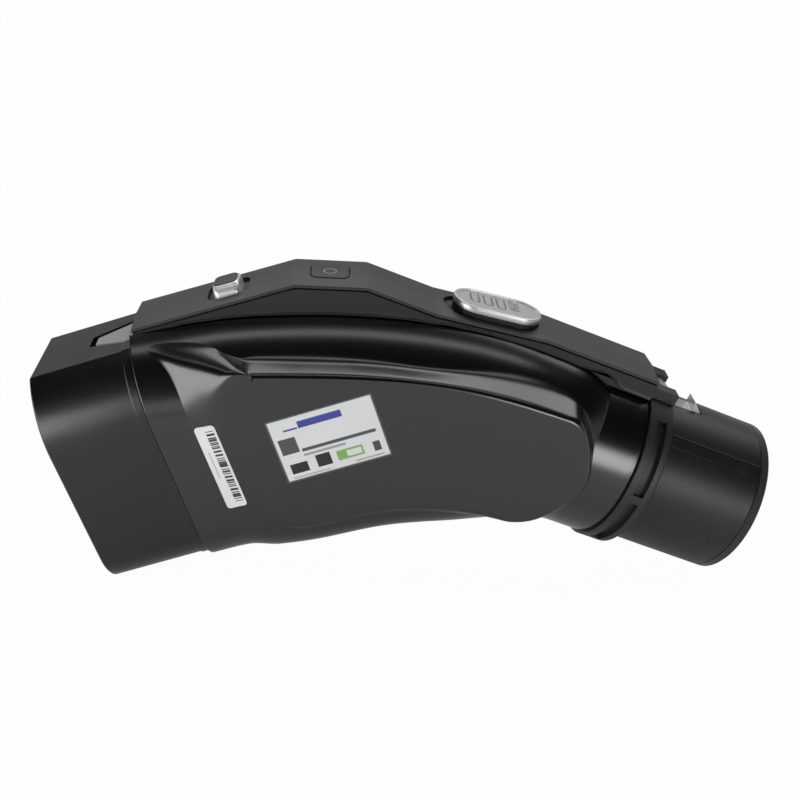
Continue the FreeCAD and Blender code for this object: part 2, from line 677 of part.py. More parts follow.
# Lock knob: a chrome frustum with a black top, on a stem to the lock plate.
KNOB_RISE = size("knob_rise")


def frustum(name, x0, y0, z0, x1, y1, z1):
    """Return a solid between two centred rectangles at two heights."""
    wires = []
    for x, y, z in ((x0, y0, z0), (x1, y1, z1)):
        corners = [V(-x, -y, z), V(x, -y, z), V(x, y, z), V(-x, y, z)]
        wires.append(Part.makePolygon(corners + corners[:1]))
    return set_shape(name, Part.makeLoft(wires, True, True))


TOP_X = KNOB_X - 0.9
TOP_Y = KNOB_Y - 2.0
knob_flare = frustum("knob_flare", KNOB_X, KNOB_Y, -2.6, TOP_X, TOP_Y, KNOB_RISE - 0.7)
PLATE_Z = -0.3
PLATE_THICK = 1.6
STEM_LENGTH = 12.0
knob_stem = block("knob_stem", -STEM_X, STEM_X, -STEM_Y, STEM_Y, -STEM_LENGTH, -2.0)
plate_edge = ((26.2, 3.3), (40.5, 8.8), (43.0, 8.8), (45.0, PLATE_HALF), (PLATE_END, PLATE_HALF))
plate_points = [V(x, -y, 0) for x, y in plate_edge] + [V(x, y, 0) for x, y in reversed(plate_edge)]
plate_face = Part.Face(Part.makePolygon(plate_points + [plate_points[0]]))
plate_face.translate(V(0, 0, PLATE_Z - PLATE_THICK))
plate_flat = plate_face.extrude(V(0, 0, PLATE_THICK))
plate_flat.Placement = INLET
lock_plate = set_shape("lock_plate_flat", plate_flat)
deliver(lock_plate, "lock_plate")
knob_rough = fuse("knob_rough", knob_flare, knob_stem)
knob_rough.Placement = KNOB_FRAME
above = placed(block("above_plate", 20, 110, -20, 20, PLATE_Z - 20, PLATE_Z), INLET)
deliver(cut("knob_cut", knob_rough, above), "lock_knob")
knob_top = frustum("knob_top_solid", TOP_X, TOP_Y, KNOB_RISE - 0.7, TOP_X - 0.5, TOP_Y - 0.7, KNOB_RISE)
deliver(knob_top, "knob_top", KNOB_FRAME)

# Power button with its ring light.
BUTTON_ROUND = 2.2
button_plate = doc.addObject("Part::Box", "button_plate")
bind(button_plate, Length="sizes.button_length", Width="sizes.button_width")
button_plate.Height = 3.2
button_plate.Placement = FreeCAD.Placement(V(-BUTTON_X, -BUTTON_Y, -3.0), FreeCAD.Rotation())
doc.recompute()
upright = [i + 1 for i, edge in enumerate(button_plate.Shape.Edges) if edge.BoundBox.ZLength > 3]
button_body = doc.addObject("Part::Fillet", "button_body")
button_body.Base = button_plate
button_body.Edges = [(i, BUTTON_ROUND, BUTTON_ROUND) for i in upright]
RING_OUT, RING_IN = 3.4, 2.6
ring_outer = doc.addObject("Part::Cylinder", "ring_outer")
ring_outer.Radius, ring_outer.Height = RING_OUT, 0.7
ring_outer.Placement = FreeCAD.Placement(V(0, 0, -0.5), FreeCAD.Rotation())
ring_inner = doc.addObject("Part::Cylinder", "ring_inner")
ring_inner.Radius, ring_inner.Height = RING_IN, 2
ring_inner.Placement = FreeCAD.Placement(V(0, 0, -1), FreeCAD.Rotation())
ring = cut("ring_cut", ring_outer, ring_inner)
deliver(cut("button_cut", button_body, ring), "power_button", BUTTON_FRAME)
ring_light = cut("ring_light_cut", ring_outer, ring_inner)
deliver(ring_light, "ring_light", BUTTON_FRAME)

# Release slider: a silver oval plate with a recessed face.
RISE = size("slider_rise")
slider_body = stadium("slider_body", SLIDER_X, SLIDER_R, -2.4, RISE)
slider_face_cut = stadium("slider_face_cut", SLIDER_X - 1.3, SLIDER_R - 1.3, RISE - 0.5, RISE + 1)
slider_plate = cut("slider_plate", slider_body, slider_face_cut)
deliver(slider_plate, "release_slider", SLIDER_FRAME)

# Plug barrel: a tube with a groove near its mouth, a keyed strip on each side, a slot
# for the latch and a thinner tail inside the neck.
BARREL = size("barrel_radius")
LENGTH = size("barrel_length")
TAIL = size("barrel_tail")
BORE = BARREL - size("barrel_wall")
barrel_main = cylinder("barrel_main", "sizes.barrel_radius", "sizes.barrel_length", x=-LENGTH)
barrel_tail = cylinder("barrel_tail", "sizes.neck_bore_radius - sizes.slide_gap", "sizes.barrel_tail + 1",
                       x=-LENGTH - TAIL)
barrel_bore = cylinder("barrel_bore", "sizes.barrel_radius - sizes.barrel_wall",
                       "sizes.barrel_length + sizes.barrel_tail + 4", x=-LENGTH - TAIL - 2)
LATCH = size("latch_half_width")
SLOT = LATCH + size("latch_clearance")
latch_slot = block("latch_slot", -53.6, -33.2, -SLOT, SLOT, 20, 40)
strips = []
for side in (-1, 1):
    strip = block("strip_%d" % (side + 1), -LENGTH + 1, -4.2, -2.8, 2.8, BARREL - 0.45, BARREL + 1)
    turned = FreeCAD.Placement(V(0, 0, 0), FreeCAD.Rotation(V(1, 0, 0), -side * 42.0))
    strips.append(placed(strip, turned))
groove_outer = cylinder("groove_outer", "sizes.barrel_radius + 1", "0.5", x=-4.6)
groove_inner = cylinder("groove_inner", "sizes.barrel_radius - 0.3", "2", x=-5.2)
groove = cut("rim_groove", groove_outer, groove_inner)
barrel_solid = fuse("barrel_solid", barrel_main, barrel_tail)
barrel_cut = cut("barrel_cut", barrel_solid, fuse("barrel_cuts", barrel_bore, latch_slot, groove, *strips))
doc.recompute()
rim_edges = [i + 1 for i, edge in enumerate(barrel_cut.Shape.Edges)
             if abs(edge.BoundBox.XMax) < 1e-6 and abs(edge.BoundBox.XMin) < 1e-6]
barrel_chamfer = doc.addObject("Part::Chamfer", "barrel_chamfer")
barrel_chamfer.Base = barrel_cut
barrel_chamfer.Edges = [(i, BREAK, BREAK) for i in rim_edges]
deliver(barrel_chamfer, "plug_barrel", PLUG)

# Collar: a ring between the neck and the barrel with arc windows and, on top, two
# cheeks that carry the latch's pin. The far cheek has ribs.
NECK_START = size("neck_start")
REAR = -NECK_START + size("collar_gap")
FRONT = REAR + size("collar_length")
COLLAR = size("collar_radius")
RING_BORE = size("neck_bore_radius") + 0.2
ring_body = cylinder("collar_ring", "sizes.collar_radius", "sizes.collar_length", x=REAR)
ring_nose = doc.addObject("Part::Cone", "collar_nose")
ring_nose.Radius1, ring_nose.Radius2, ring_nose.Height = COLLAR, RING_BORE + 0.6, 2.0
ring_nose.Placement = FreeCAD.Placement(V(FRONT, 0, 0), ALONG_X)
CHEEK_IN = size("cheek_inner")
CHEEK_OUT = size("cheek_outer")
CHEEK_TOP = size("cheek_top")
cheeks = []
for side in (-1, 1):
    y0, y1 = sorted((side * CHEEK_IN, side * CHEEK_OUT))
    cheeks.append(block("cheek_%d" % (side + 1), REAR, FRONT + 0.6, y0, y1, 33.0, CHEEK_TOP))
collar_solid = fuse("collar_solid", ring_body, ring_nose, *cheeks)
collar_cuts = [
    cylinder("collar_bore", "sizes.neck_bore_radius + 0.2", "sizes.collar_length + 10", x=REAR - 4),
    block("collar_trough", REAR - 2, FRONT + 4, -CHEEK_IN, CHEEK_IN, 30, 60),
    cylinder("pin_hole", "sizes.pivot_radius", "60", x=-size("pivot_distance"), y=-30, z=size("pivot_rise"),
             along=ALONG_Y),
]
WINDOW = size("window_width")
window_x = FRONT - 2.6 - WINDOW
for index, (start, end) in enumerate(((35.0, 86.6), (92.0, 143.6), (216.4, 268.0), (273.4, 325.0))):
    corner = V(window_x, 0, 0)
    outer = Part.makeCylinder(COLLAR + 2, WINDOW, corner, V(1, 0, 0), end - start)
    inner = Part.makeCylinder(COLLAR - size("window_depth"), WINDOW, corner, V(1, 0, 0), end - start)
    window = outer.cut(inner)
    window.rotate(V(0, 0, 0), V(1, 0, 0), start)
    collar_cuts.append(set_shape("window_%d" % index, window))
RIB_PITCH, RIB_GROOVE, RIB_DEPTH = 2.0, 0.9, 0.7
for index in range(3):
    y = CHEEK_IN + 1.4 + RIB_PITCH * index
    groove_low = CHEEK_TOP - RIB_DEPTH
    collar_cuts.append(block("rib_groove_%d" % index, REAR - 1, FRONT + 2, y, y + RIB_GROOVE,
                             groove_low, groove_low + 2))
collar = cut("collar_cut", collar_solid, fuse("collar_cuts", *collar_cuts))
deliver(collar, "plug_collar", PLUG)

# Latch: a steel arm on the cross pin, with a square-backed tooth in the barrel's slot.
PIN_X = -size("pivot_distance")
PIN_Z = size("pivot_rise")
latch_outline = [
    (PIN_X - 11.7, 38.6), (PIN_X - 11.7, 40.3), (PIN_X - 0.3, 40.3), (PIN_X + 1.9, 39.6),
    (PIN_X + 3.6, 37.8), (PIN_X + 4.6, 35.6), (PIN_X + 5.4, 34.7), (-39.0, 34.7), (-39.0, 39.0), (-34.3, 34.9), (-34.3, 31.9),
    (PIN_X + 5.0, 31.9), (PIN_X + 2.0, 35.8), (PIN_X - 3.4, 35.8), (PIN_X - 5.2, 38.6),
]
latch_solid = prism("latch_solid", latch_outline, "sizes.latch_half_width")
latch_hole = cylinder("latch_hole", "sizes.pivot_radius + sizes.pivot_clearance", "40",
                      x=PIN_X, y=-20, z=PIN_Z, along=ALONG_Y)
deliver(cut("latch_cut", latch_solid, latch_hole), "latch_claw", PLUG)
pin = cylinder("pin_solid", "sizes.pivot_radius", "2 * sizes.cheek_outer - 0.2",
               x=PIN_X, y=-CHEEK_OUT + 0.1, z=PIN_Z, along=ALONG_Y)
deliver(pin, "latch_pin", PLUG)
spring_outer = cylinder("spring_outer", "sizes.pivot_radius + 0.9", "1.1", x=PIN_X, y=LATCH + 0.3, z=PIN_Z,
                        along=ALONG_Y)
spring_inner = cylinder("spring_inner", "sizes.pivot_radius + 0.2", "4", x=PIN_X, y=LATCH - 1, z=PIN_Z,
                        along=ALONG_Y)
deliver(cut("spring_cut", spring_outer, spring_inner), "latch_spring", PLUG)

# Plug insulator: a floor disc in the barrel, two power tubes and two blocks of small
# sockets on it, one above and one below. Each contact is a tube with a closed back.
DISC = 8.0
CLAW_ROOM = 6.0
FLOOR = -size("barrel_floor")
BACK = FLOOR - DISC
SOCKET_Y = size("socket_pitch") / 2
TUBE_END = -6.0
BLOCK_END = TUBE_END - 2
SOCKET_R = size("socket_radius") + 2.0
SIGNAL_R = size("signal_radius") + 0.8
BLOCK_LOW, BLOCK_HIGH, BLOCK_Y = 7.0, 20.0, 9.5
SIGNAL_PLACES = ((-6.0, 13.5), (6.0, 13.5), (0.0, 17.0), (0.0, 10.0))
SIGNALS = [(y, side * z) for side in (1, -1) for y, z in SIGNAL_PLACES]
disc = round_bar("plug_disc", BORE - GAP, BACK, FLOOR, 0, 0)
disc_holes = [round_bar("disc_hole_%d" % i, SOCKET_R, BACK - 1, FLOOR + 1, y, 0)
              for i, y in enumerate((-SOCKET_Y, SOCKET_Y))]
disc_holes.append(block("claw_room", BACK - 1, FLOOR + 1, -SLOT, SLOT, BORE - CLAW_ROOM, BARREL))
deliver(cut("plug_disc_cut", disc, fuse("disc_holes", *disc_holes)), "plug_floor", PLUG)
for index, y in enumerate((-SOCKET_Y, SOCKET_Y), start=1):
    tube_solid = round_bar("tube_solid_%d" % index, size("socket_tube_radius"), FLOOR, TUBE_END, y, 0)
    tube_hole = round_bar("tube_hole_%d" % index, SOCKET_R, FLOOR - 1, TUBE_END + 1, y, 0)
    deliver(cut("tube_cut_%d" % index, tube_solid, tube_hole), "socket_tube_%d" % index, PLUG)
for index, side in enumerate((1, -1), start=1):
    z0, z1 = sorted((side * BLOCK_LOW, side * BLOCK_HIGH))
    solid = block("signal_solid_%d" % index, FLOOR, BLOCK_END, -BLOCK_Y, BLOCK_Y, z0, z1)
    rooms = [round_bar("tube_room_%d_%d" % (index, i), size("socket_tube_radius") + GAP, FLOOR - 1, 0, y, 0)
             for i, y in enumerate((-SOCKET_Y, SOCKET_Y))]
    rooms += [round_bar("signal_hole_%d_%d" % (index, i), SIGNAL_R, FLOOR - 1, 0, y, z)
              for i, (y, z) in enumerate(SIGNALS) if z * side > 0]
    deliver(cut("signal_cut_%d" % index, solid, fuse("signal_rooms_%d" % index, *rooms)),
            "signal_block_%d" % index, PLUG)


def socket(label, outer, inner, y, z, start, end):
    """Add one tubular socket contact with a closed back."""
    shell = round_bar(label + "_shell", outer, start, end, y, z)
    bore = round_bar(label + "_bore", inner, start + 4, end + 1, y, z)
    deliver(cut(label + "_cut", shell, bore), label, PLUG)


for index, y in enumerate((-SOCKET_Y, SOCKET_Y), start=1):
    socket("dc_socket_%d" % index, SOCKET_R, size("socket_radius"), y, 0, BACK - 3, TUBE_END - 3)
for index, (y, z) in enumerate(SIGNALS, start=1):
    socket("signal_socket_%d" % index, SIGNAL_R, size("signal_radius"), y, z, FLOOR, BLOCK_END - 2)

# Labels: a large field on the pillow's flat face and a narrow one on the tube's side.
LABEL = size("label_thickness")


def label_box(name, length_alias, height_alias, s0, v0, y):
    """Add a thin plate in the inlet frame, given its upper left corner."""
    obj = doc.addObject("Part::Box", name)
    bind(obj, Length="sizes." + length_alias, Height="sizes." + height_alias, Width="sizes.label_thickness")
    obj.Placement = FreeCAD.Placement(V(s0, y, -v0 - size(height_alias)), FreeCAD.Rotation())
    return obj


rating = placed(label_box("rating_box", "rating_length", "rating_height", 90.6, 38.3, -PILLOW_Y), INLET)
deliver(rating, "rating_label")
SERIAL_X = 64.6
SERIAL_Z = -30.8
SERIAL_ROUND = 1.6
serial_box = Part.makeBox(size("serial_length"), 30, size("serial_height"),
                          V(SERIAL_X, -50, SERIAL_Z - size("serial_height")))
serial_edges = [edge for edge in serial_box.Edges if edge.BoundBox.YLength > 20]
serial_box = serial_box.makeFillet(SERIAL_ROUND, serial_edges)
serial_box.Placement = INLET
under_label = serial_box.common(near_skin)
lifted = under_label.copy()
lifted.translate(V(0, -LABEL, 0))
deliver(set_shape("serial_solid", lifted.cut(under_label)), "serial_label")

# Insides of the body: two round conductors, a circuit board on posts of the far
# shell and a round battery cell in a cradle of the near shell.
CONDUCTOR = 4.0


def conductor(label, side):
    """Sweep one round conductor from an inlet pin to a plug socket: two straights and an arc."""
    y = side * (PITCH + SOCKET_Y) / 2
    start = INLET.multVec(V(DEPTH, y, POWER_Z))
    end = PLUG.multVec(V(BACK - 3, y, 0))
    leg_in = INLET.Rotation.multVec(V(1, 0, 0))
    leg_out = PLUG.Rotation.multVec(V(1, 0, 0))
    away = end - start
    turn = leg_in.x * leg_out.z - leg_in.z * leg_out.x
    first = (away.x * leg_out.z - away.z * leg_out.x) / turn
    second = (leg_in.x * away.z - leg_in.z * away.x) / turn
    corner = start + leg_in * first
    cut_back = 0.9 * min(first, second)
    arc_radius = cut_back / math.tan(TILT)
    arc_start, arc_end = corner - leg_in * cut_back, corner + leg_out * cut_back
    middle = arc_start - V(-leg_in.z, 0, leg_in.x) * arc_radius + V(0, 0, arc_radius)
    wire = Part.Wire([Part.makeLine(start, arc_start), Part.Arc(arc_start, middle, arc_end).toShape(),
                      Part.makeLine(arc_end, end)])
    profile = Part.Wire(Part.makeCircle(CONDUCTOR, start, leg_in))
    deliver(set_shape(label + "_solid", wire.makePipeShell([profile], True, False)), label)


conductor("dc_conductor_1", -1)
conductor("dc_conductor_2", 1)
BOARD_RUN, BOARD_RISE = 98.0, 2.0
BOARD_X, BOARD_Z, BOARD_Y = 62.0, 34.0, 20.4
BOARD_THICK = 1.6
board_point = on_path(BOARD_RUN, 0, BOARD_RISE)
BOARD_FRAME = FreeCAD.Placement(board_point, FreeCAD.Rotation())
board = block("board_plate", -BOARD_X / 2, BOARD_X / 2, BOARD_Y, BOARD_Y + BOARD_THICK,
              -BOARD_Z / 2, BOARD_Z / 2)
chips = []
for index, (x, z, w, h, d) in enumerate(((-18, 4, 12, 12, 1.6), (2, -2, 16, 9, 2.2), (20, 6, 8, 10, 3.0))):
    chips.append(block("chip_%d" % index, x - w / 2, x + w / 2, BOARD_Y - d, BOARD_Y, z - h / 2, z + h / 2))
deliver(fuse("board_solid", board, *chips), "control_board", BOARD_FRAME)
posts = []
for index, (x, z) in enumerate(((-27, -13), (27, -13), (-27, 13), (27, 13))):
    post = doc.addObject("Part::Cylinder", "post_%d" % index)
    post.Radius, post.Height = 2.4, 15.5
    post.Placement = FreeCAD.Placement(board_point + V(x, BOARD_Y + BOARD_THICK, z), ALONG_Y)
    posts.append(post)
CELL_R, CELL_LENGTH = 7.1, 48.0
CELL = on_path(96.0, -26.5, 14.0)
cell = doc.addObject("Part::Cylinder", "cell_solid")
cell.Radius, cell.Height = CELL_R, CELL_LENGTH
cell.Placement = FreeCAD.Placement(CELL + V(-CELL_LENGTH / 2, 0, 0), ALONG_X)
cradle_room = doc.addObject("Part::Cylinder", "cradle_room")
cradle_room.Radius, cradle_room.Height = CELL_R + GAP, CELL_LENGTH + 20
cradle_room.Placement = FreeCAD.Placement(CELL + V(-CELL_LENGTH / 2 - 10, 0, 0), ALONG_X)
cradle_block = block("cradle_block", -20, 20, -11.5, -3.5, -6.5, 6.5)
cradle_block.Placement = FreeCAD.Placement(CELL + V(-20, -11.5, -6.5), FreeCAD.Rotation())
cradle = cut("cradle", cradle_block, cradle_room)
deliver(cell, "battery_cell")

# Shells: openings for the stem and the plate, the cell's cradle, the board's posts,
# and four screws in round recesses on the far side.
SCREWS = ((50.0, 18.0), (47.0, -24.0), (158.0, 12.0), (154.0, -16.0))
RECESS_R, SCREW_R = 3.5, 3.2
SCREW_SINK = 3.0
DRIVE_R = 1.6
FLOOR_Y = PILLOW_Y - SCREW_SINK
recesses = []
for number, (run, rise) in enumerate(SCREWS, start=1):
    point = on_path(run, 0, rise)
    recess = doc.addObject("Part::Cylinder", "recess_%d" % number)
    recess.Radius, recess.Height = RECESS_R, 6
    recess.Placement = FreeCAD.Placement(point + V(0, FLOOR_Y, 0), ALONG_Y)
    recesses.append(recess)
    head = doc.addObject("Part::Cylinder", "screw_head_%d" % number)
    head.Radius, head.Height = SCREW_R, 2.0
    head.Placement = FreeCAD.Placement(point + V(0, FLOOR_Y, 0), ALONG_Y)
    turns = [math.radians(60 * i) for i in range(7)]
    hexagon = [V(DRIVE_R * math.cos(turn), 0, DRIVE_R * math.sin(turn)) for turn in turns]
    drive = Part.Face(Part.makePolygon(hexagon)).extrude(V(0, 3, 0))
    drive.translate(point + V(0, FLOOR_Y + 1.0, 0))
    socket_cut = cut("screw_cut_%d" % number, head, set_shape("drive_%d" % number, drive))
    deliver(socket_cut, "screw_%d" % number)
near_room = cut("near_room", near_hollow, cradle)
near_cuts = fuse("near_cuts", near_room, stem_slot, plate_channel, rating)
deliver(cut("near_cut", near_outer, near_cuts), "body_shell_near")
far_room = cut("far_room", far_hollow, fuse("posts", *posts))
far_cuts = fuse("far_cuts", far_room, stem_slot, plate_channel, *recesses)
deliver(cut("far_cut", far_outer, far_cuts), "body_shell_far")


def export_all():
    """Check every sub-part and write it to its file."""
    doc.recompute()
    for obj in doc.Objects:
        if "Invalid" in obj.State or "Error" in obj.State:
            raise RuntimeError("feature failed: " + obj.Name)
    os.makedirs("parts", exist_ok=True)
    for obj in PARTS:
        shape = obj.Shape
        if shape.isNull() or not shape.isValid():
            raise RuntimeError("bad shape: " + obj.Label)
        if len(shape.Solids) != 1:
            raise RuntimeError("%s has %d solids" % (obj.Label, len(shape.Solids)))
        shape.exportStep("parts/%s.step" % obj.Label)


export_all()
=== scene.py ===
"""The ev charging adapter dressed for its photograph: finishes, fine pieces, studio and camera."""
import math

import bmesh
import bpy
import numpy as np
from mathutils import Matrix, Vector
from mathutils.geometry import tessellate_polygon


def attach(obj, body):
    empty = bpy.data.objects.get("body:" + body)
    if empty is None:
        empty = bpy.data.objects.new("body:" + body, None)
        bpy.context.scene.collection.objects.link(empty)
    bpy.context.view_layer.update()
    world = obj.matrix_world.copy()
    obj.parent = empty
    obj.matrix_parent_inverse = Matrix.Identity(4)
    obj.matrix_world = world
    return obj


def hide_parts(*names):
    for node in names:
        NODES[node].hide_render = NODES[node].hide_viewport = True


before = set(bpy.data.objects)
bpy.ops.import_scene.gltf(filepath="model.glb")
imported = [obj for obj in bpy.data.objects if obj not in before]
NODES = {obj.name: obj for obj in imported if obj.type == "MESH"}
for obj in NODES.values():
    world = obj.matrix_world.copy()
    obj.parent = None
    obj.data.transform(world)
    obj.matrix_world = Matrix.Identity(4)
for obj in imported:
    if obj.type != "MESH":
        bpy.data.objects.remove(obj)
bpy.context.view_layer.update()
scene = bpy.context.scene
scene.view_settings.view_transform = "Standard"

# Camera: the photograph was taken from above the near side with a long lens, turned a
# few degrees towards the inlet and rolled a little. All values come from one fit.
LOOK_AT = Vector((-0.00534, 0.0, 0.07671))
CAMERA_PITCH = math.radians(27.65)
CAMERA_YAW = math.radians(4.04)
CAMERA_ROLL = math.radians(3.75)
CAMERA_DISTANCE = 0.51395
CAMERA_LENS = 36.0 * 1165.9 / 800.0

forward = Vector((math.sin(CAMERA_YAW) * math.cos(CAMERA_PITCH), math.cos(CAMERA_YAW) * math.cos(CAMERA_PITCH),
                  -math.sin(CAMERA_PITCH)))
level = Vector((math.cos(CAMERA_YAW), -math.sin(CAMERA_YAW), 0.0))
above = level.cross(forward)
right = level * math.cos(CAMERA_ROLL) + above * math.sin(CAMERA_ROLL)
up = above * math.cos(CAMERA_ROLL) - level * math.sin(CAMERA_ROLL)
camera_data = bpy.data.cameras.new("camera")
camera_data.lens = CAMERA_LENS
camera_data.sensor_width = 36.0
camera_data.clip_start = 0.01
camera = bpy.data.objects.new("camera", camera_data)
scene.collection.objects.link(camera)
axes = Matrix((right, up, -forward)).transposed().to_4x4()
axes.translation = LOOK_AT - forward * CAMERA_DISTANCE
camera.matrix_world = axes
scene.camera = camera


# Studio: a white floor with a low white wall all round, one narrow strip above and four
# soft boxes that the satin plastic mirrors. Floor and wall are white to the camera, and
# duller to mirrored rays, so that black plastic keeps its depth.
class Socket:
    """One output of a shader node; operators on it add the Math node that does the same."""

    def __init__(self, shader, output):
        self.shader = shader
        self.output = output

    def _math(self, operation, *values, clamp=False):
        return self.shader.node("ShaderNodeMath", {"operation": operation, "use_clamp": clamp}, *values)

    def __add__(self, other):
        return self._math("ADD", self, other)

    def __sub__(self, other):
        return self._math("SUBTRACT", self, other)

    def __mul__(self, other):
        return self._math("MULTIPLY", self, other)

    def __truediv__(self, other):
        return self._math("DIVIDE", self, other)

    def __rsub__(self, other):
        return self._math("SUBTRACT", other, self)

    def __abs__(self):
        return self._math("ABSOLUTE", self)

    def __pow__(self, other):
        return self._math("POWER", self, other)

    __rmul__ = __mul__

    def most(self, other):
        return self._math("MAXIMUM", self, other)

    def least(self, other):
        return self._math("MINIMUM", self, other)

    def clamped(self):
        return self._math("ADD", self, 0.0, clamp=True)

    def step(self, low, high):
        """0 below low, 1 above high, and a smooth rise between."""
        node = self.shader.raw("ShaderNodeMapRange", {"interpolation_type": "SMOOTHSTEP"})
        self.shader.feed(node.inputs["Value"], self)
        node.inputs["From Min"].default_value = low
        node.inputs["From Max"].default_value = high
        return Socket(self.shader, node.outputs["Result"])


class Shader:
    """One material's node tree, with its principled shader."""

    def __init__(self, name, color, roughness, **settings):
        self.material = bpy.data.materials.new(name)
        self.material.use_nodes = True
        self.tree = self.material.node_tree
        self.surface = self.tree.nodes["Principled BSDF"]
        self.normal = None
        self.set("Base Color", (*color, 1.0))
        self.set("Roughness", roughness)
        for socket, value in settings.items():
            self.set(socket.replace("_", " "), value)

    def raw(self, kind, settings=None):
        """Add a node with its settings."""
        node = self.tree.nodes.new(kind)
        for name, value in (settings or {}).items():
            setattr(node, name, value)
        return node

    def feed(self, target, value):
        """Link a socket to an input, or set a plain value on it."""
        if isinstance(value, Socket):
            self.tree.links.new(value.output, target)
        else:
            target.default_value = value

    def node(self, kind, settings=None, *values, output=0, **named):
        """Add a node with its settings, feed its inputs in order or by name, and return one output."""
        node = self.raw(kind, settings)
        for target, value in zip(node.inputs, values):
            self.feed(target, value)
        for name, value in named.items():
            self.feed(node.inputs[name.replace("_", " ")], value)
        return Socket(self, node.outputs[output])

    def set(self, socket, value):
        self.feed(self.surface.inputs[socket], value)
        return self

    def place(self):
        """The point's place in the part's own metres."""
        return self.node("ShaderNodeTexCoord", output="Object")

    def parts(self, vector):
        """A vector's x, y and z."""
        node = self.raw("ShaderNodeSeparateXYZ")
        self.feed(node.inputs[0], vector)
        return [Socket(self, output) for output in node.outputs]

    def noise(self, size, detail=2.0, roughness=0.5, vector=None):
        """Noise from 0 to 1 whose features are about size metres across."""
        return self.node("ShaderNodeTexNoise", {"noise_dimensions": "3D"}, Vector=vector or self.place(),
                         Scale=1.0 / size, Detail=detail, Roughness=roughness, output="Fac")

    def mix(self, share, first, second):
        """The first colour where share is 0 and the second where it is 1."""
        node = self.raw("ShaderNodeMix", {"data_type": "RGBA"})
        self.feed(node.inputs[0], share)
        for target, value in ((node.inputs[6], first), (node.inputs[7], second)):
            self.feed(target, value if isinstance(value, Socket) else (*value, 1.0))
        return Socket(self, node.outputs[2])

    def clouds(self, roughness, spread):
        """Let the roughness drift by up to spread either way, in slow clouds 30 mm across."""
        return self.set("Roughness", (self.noise(0.03, 3.0) - 0.5) * (2 * spread) + roughness)

    def soften(self, radius):
        """Round off the normal near edges, as a bevel of that radius would."""
        node = self.raw("ShaderNodeBevel", {"samples": 8})
        node.inputs["Radius"].default_value = radius
        self.normal = Socket(self, node.outputs["Normal"])

    def bump(self, height, distance):
        """Lay a height from 0 to 1 over the normal so far, as a relief of distance metres."""
        named = {"Normal": self.normal} if self.normal else {}
        self.normal = self.node("ShaderNodeBump", None, Height=height, Distance=distance, Strength=1.0,
                                output="Normal", **named)
        self.set("Normal", self.normal)


def lamp(name, place, size, energy, target=(0.0, 0.0, 0.06)):
    """A rectangular soft box that faces the target."""
    data = bpy.data.lights.new(name, "AREA")
    data.shape = "RECTANGLE"
    data.size, data.size_y = size
    data.energy = energy
    obj = bpy.data.objects.new(name, data)
    scene.collection.objects.link(obj)
    obj.location = place
    obj.rotation_euler = (Vector(target) - Vector(place)).to_track_quat("-Z", "Y").to_euler()


FLOOR_RADIUS, WALL_HEIGHT, FLOOR_SIDES, FLOOR_DROP = 5.0, 1.3, 96, 0.0002
TO_CAMERA, TO_GLOSS, TO_GLASS = 0.97, 0.33, 0.45
turn = np.linspace(0.0, 2 * math.pi, FLOOR_SIDES, endpoint=False)
foot_ring = np.stack((FLOOR_RADIUS * np.cos(turn), FLOOR_RADIUS * np.sin(turn), 0 * turn), axis=1)
here = np.arange(FLOOR_SIDES)
following = np.roll(here, -1)
wall_quads = np.stack((following, here, here + FLOOR_SIDES, following + FLOOR_SIDES), axis=1)
floor_mesh = bpy.data.meshes.new("floor")
floor_mesh.from_pydata(np.concatenate((foot_ring, foot_ring + (0.0, 0.0, WALL_HEIGHT))).tolist(), [],
                       [here.tolist()] + wall_quads.tolist())
floor = bpy.data.objects.new("floor", floor_mesh)
scene.collection.objects.link(floor)
floor.location.z = -FLOOR_DROP
floor_white = Shader("floor_white", (0.92, 0.92, 0.92), 0.9)
rays = floor_white.raw("ShaderNodeLightPath")
to_camera, to_gloss, to_glass = (Socket(floor_white, rays.outputs[kind])
                                 for kind in ("Is Camera Ray", "Is Glossy Ray", "Is Transmission Ray"))
glow = floor_white.raw("ShaderNodeEmission")
glow.inputs["Strength"].default_value = 1.0
blend = floor_white.raw("ShaderNodeMixShader")
floor_white.feed(blend.inputs[0], (to_camera * TO_CAMERA).most(to_gloss * TO_GLOSS).most(to_glass * TO_GLASS))
floor_white.tree.links.new(floor_white.surface.outputs[0], blend.inputs[1])
floor_white.tree.links.new(glow.outputs[0], blend.inputs[2])
floor_white.tree.links.new(blend.outputs[0], floor_white.tree.nodes["Material Output"].inputs["Surface"])
floor_mesh.materials.append(floor_white.material)

world = bpy.data.worlds.new("studio")
scene.world = world
world.use_nodes = True
world.node_tree.nodes["Background"].inputs["Color"].default_value = (1, 1, 1, 1)
world.node_tree.nodes["Background"].inputs["Strength"].default_value = 0.02

lamp("overhead", (0.0, -0.115, 1.25), (1.7, 0.16), 1.8, target=(0.0, 0.0, 0.05))
lamp("behind", (0.15, 1.0, 1.25), (2.8, 1.1), 21.0)
lamp("horizon", (0.0, -2.6, 0.32), (4.5, 0.6), 5.5, target=(0.0, 0.0, 0.32))
lamp("left", (-0.6, -0.34, 0.1), (0.64, 0.4), 3.2, target=(-0.08, 0.0, 0.05))
lamp("right", (0.5, -0.9, 0.13), (0.42, 0.4), 2.7)

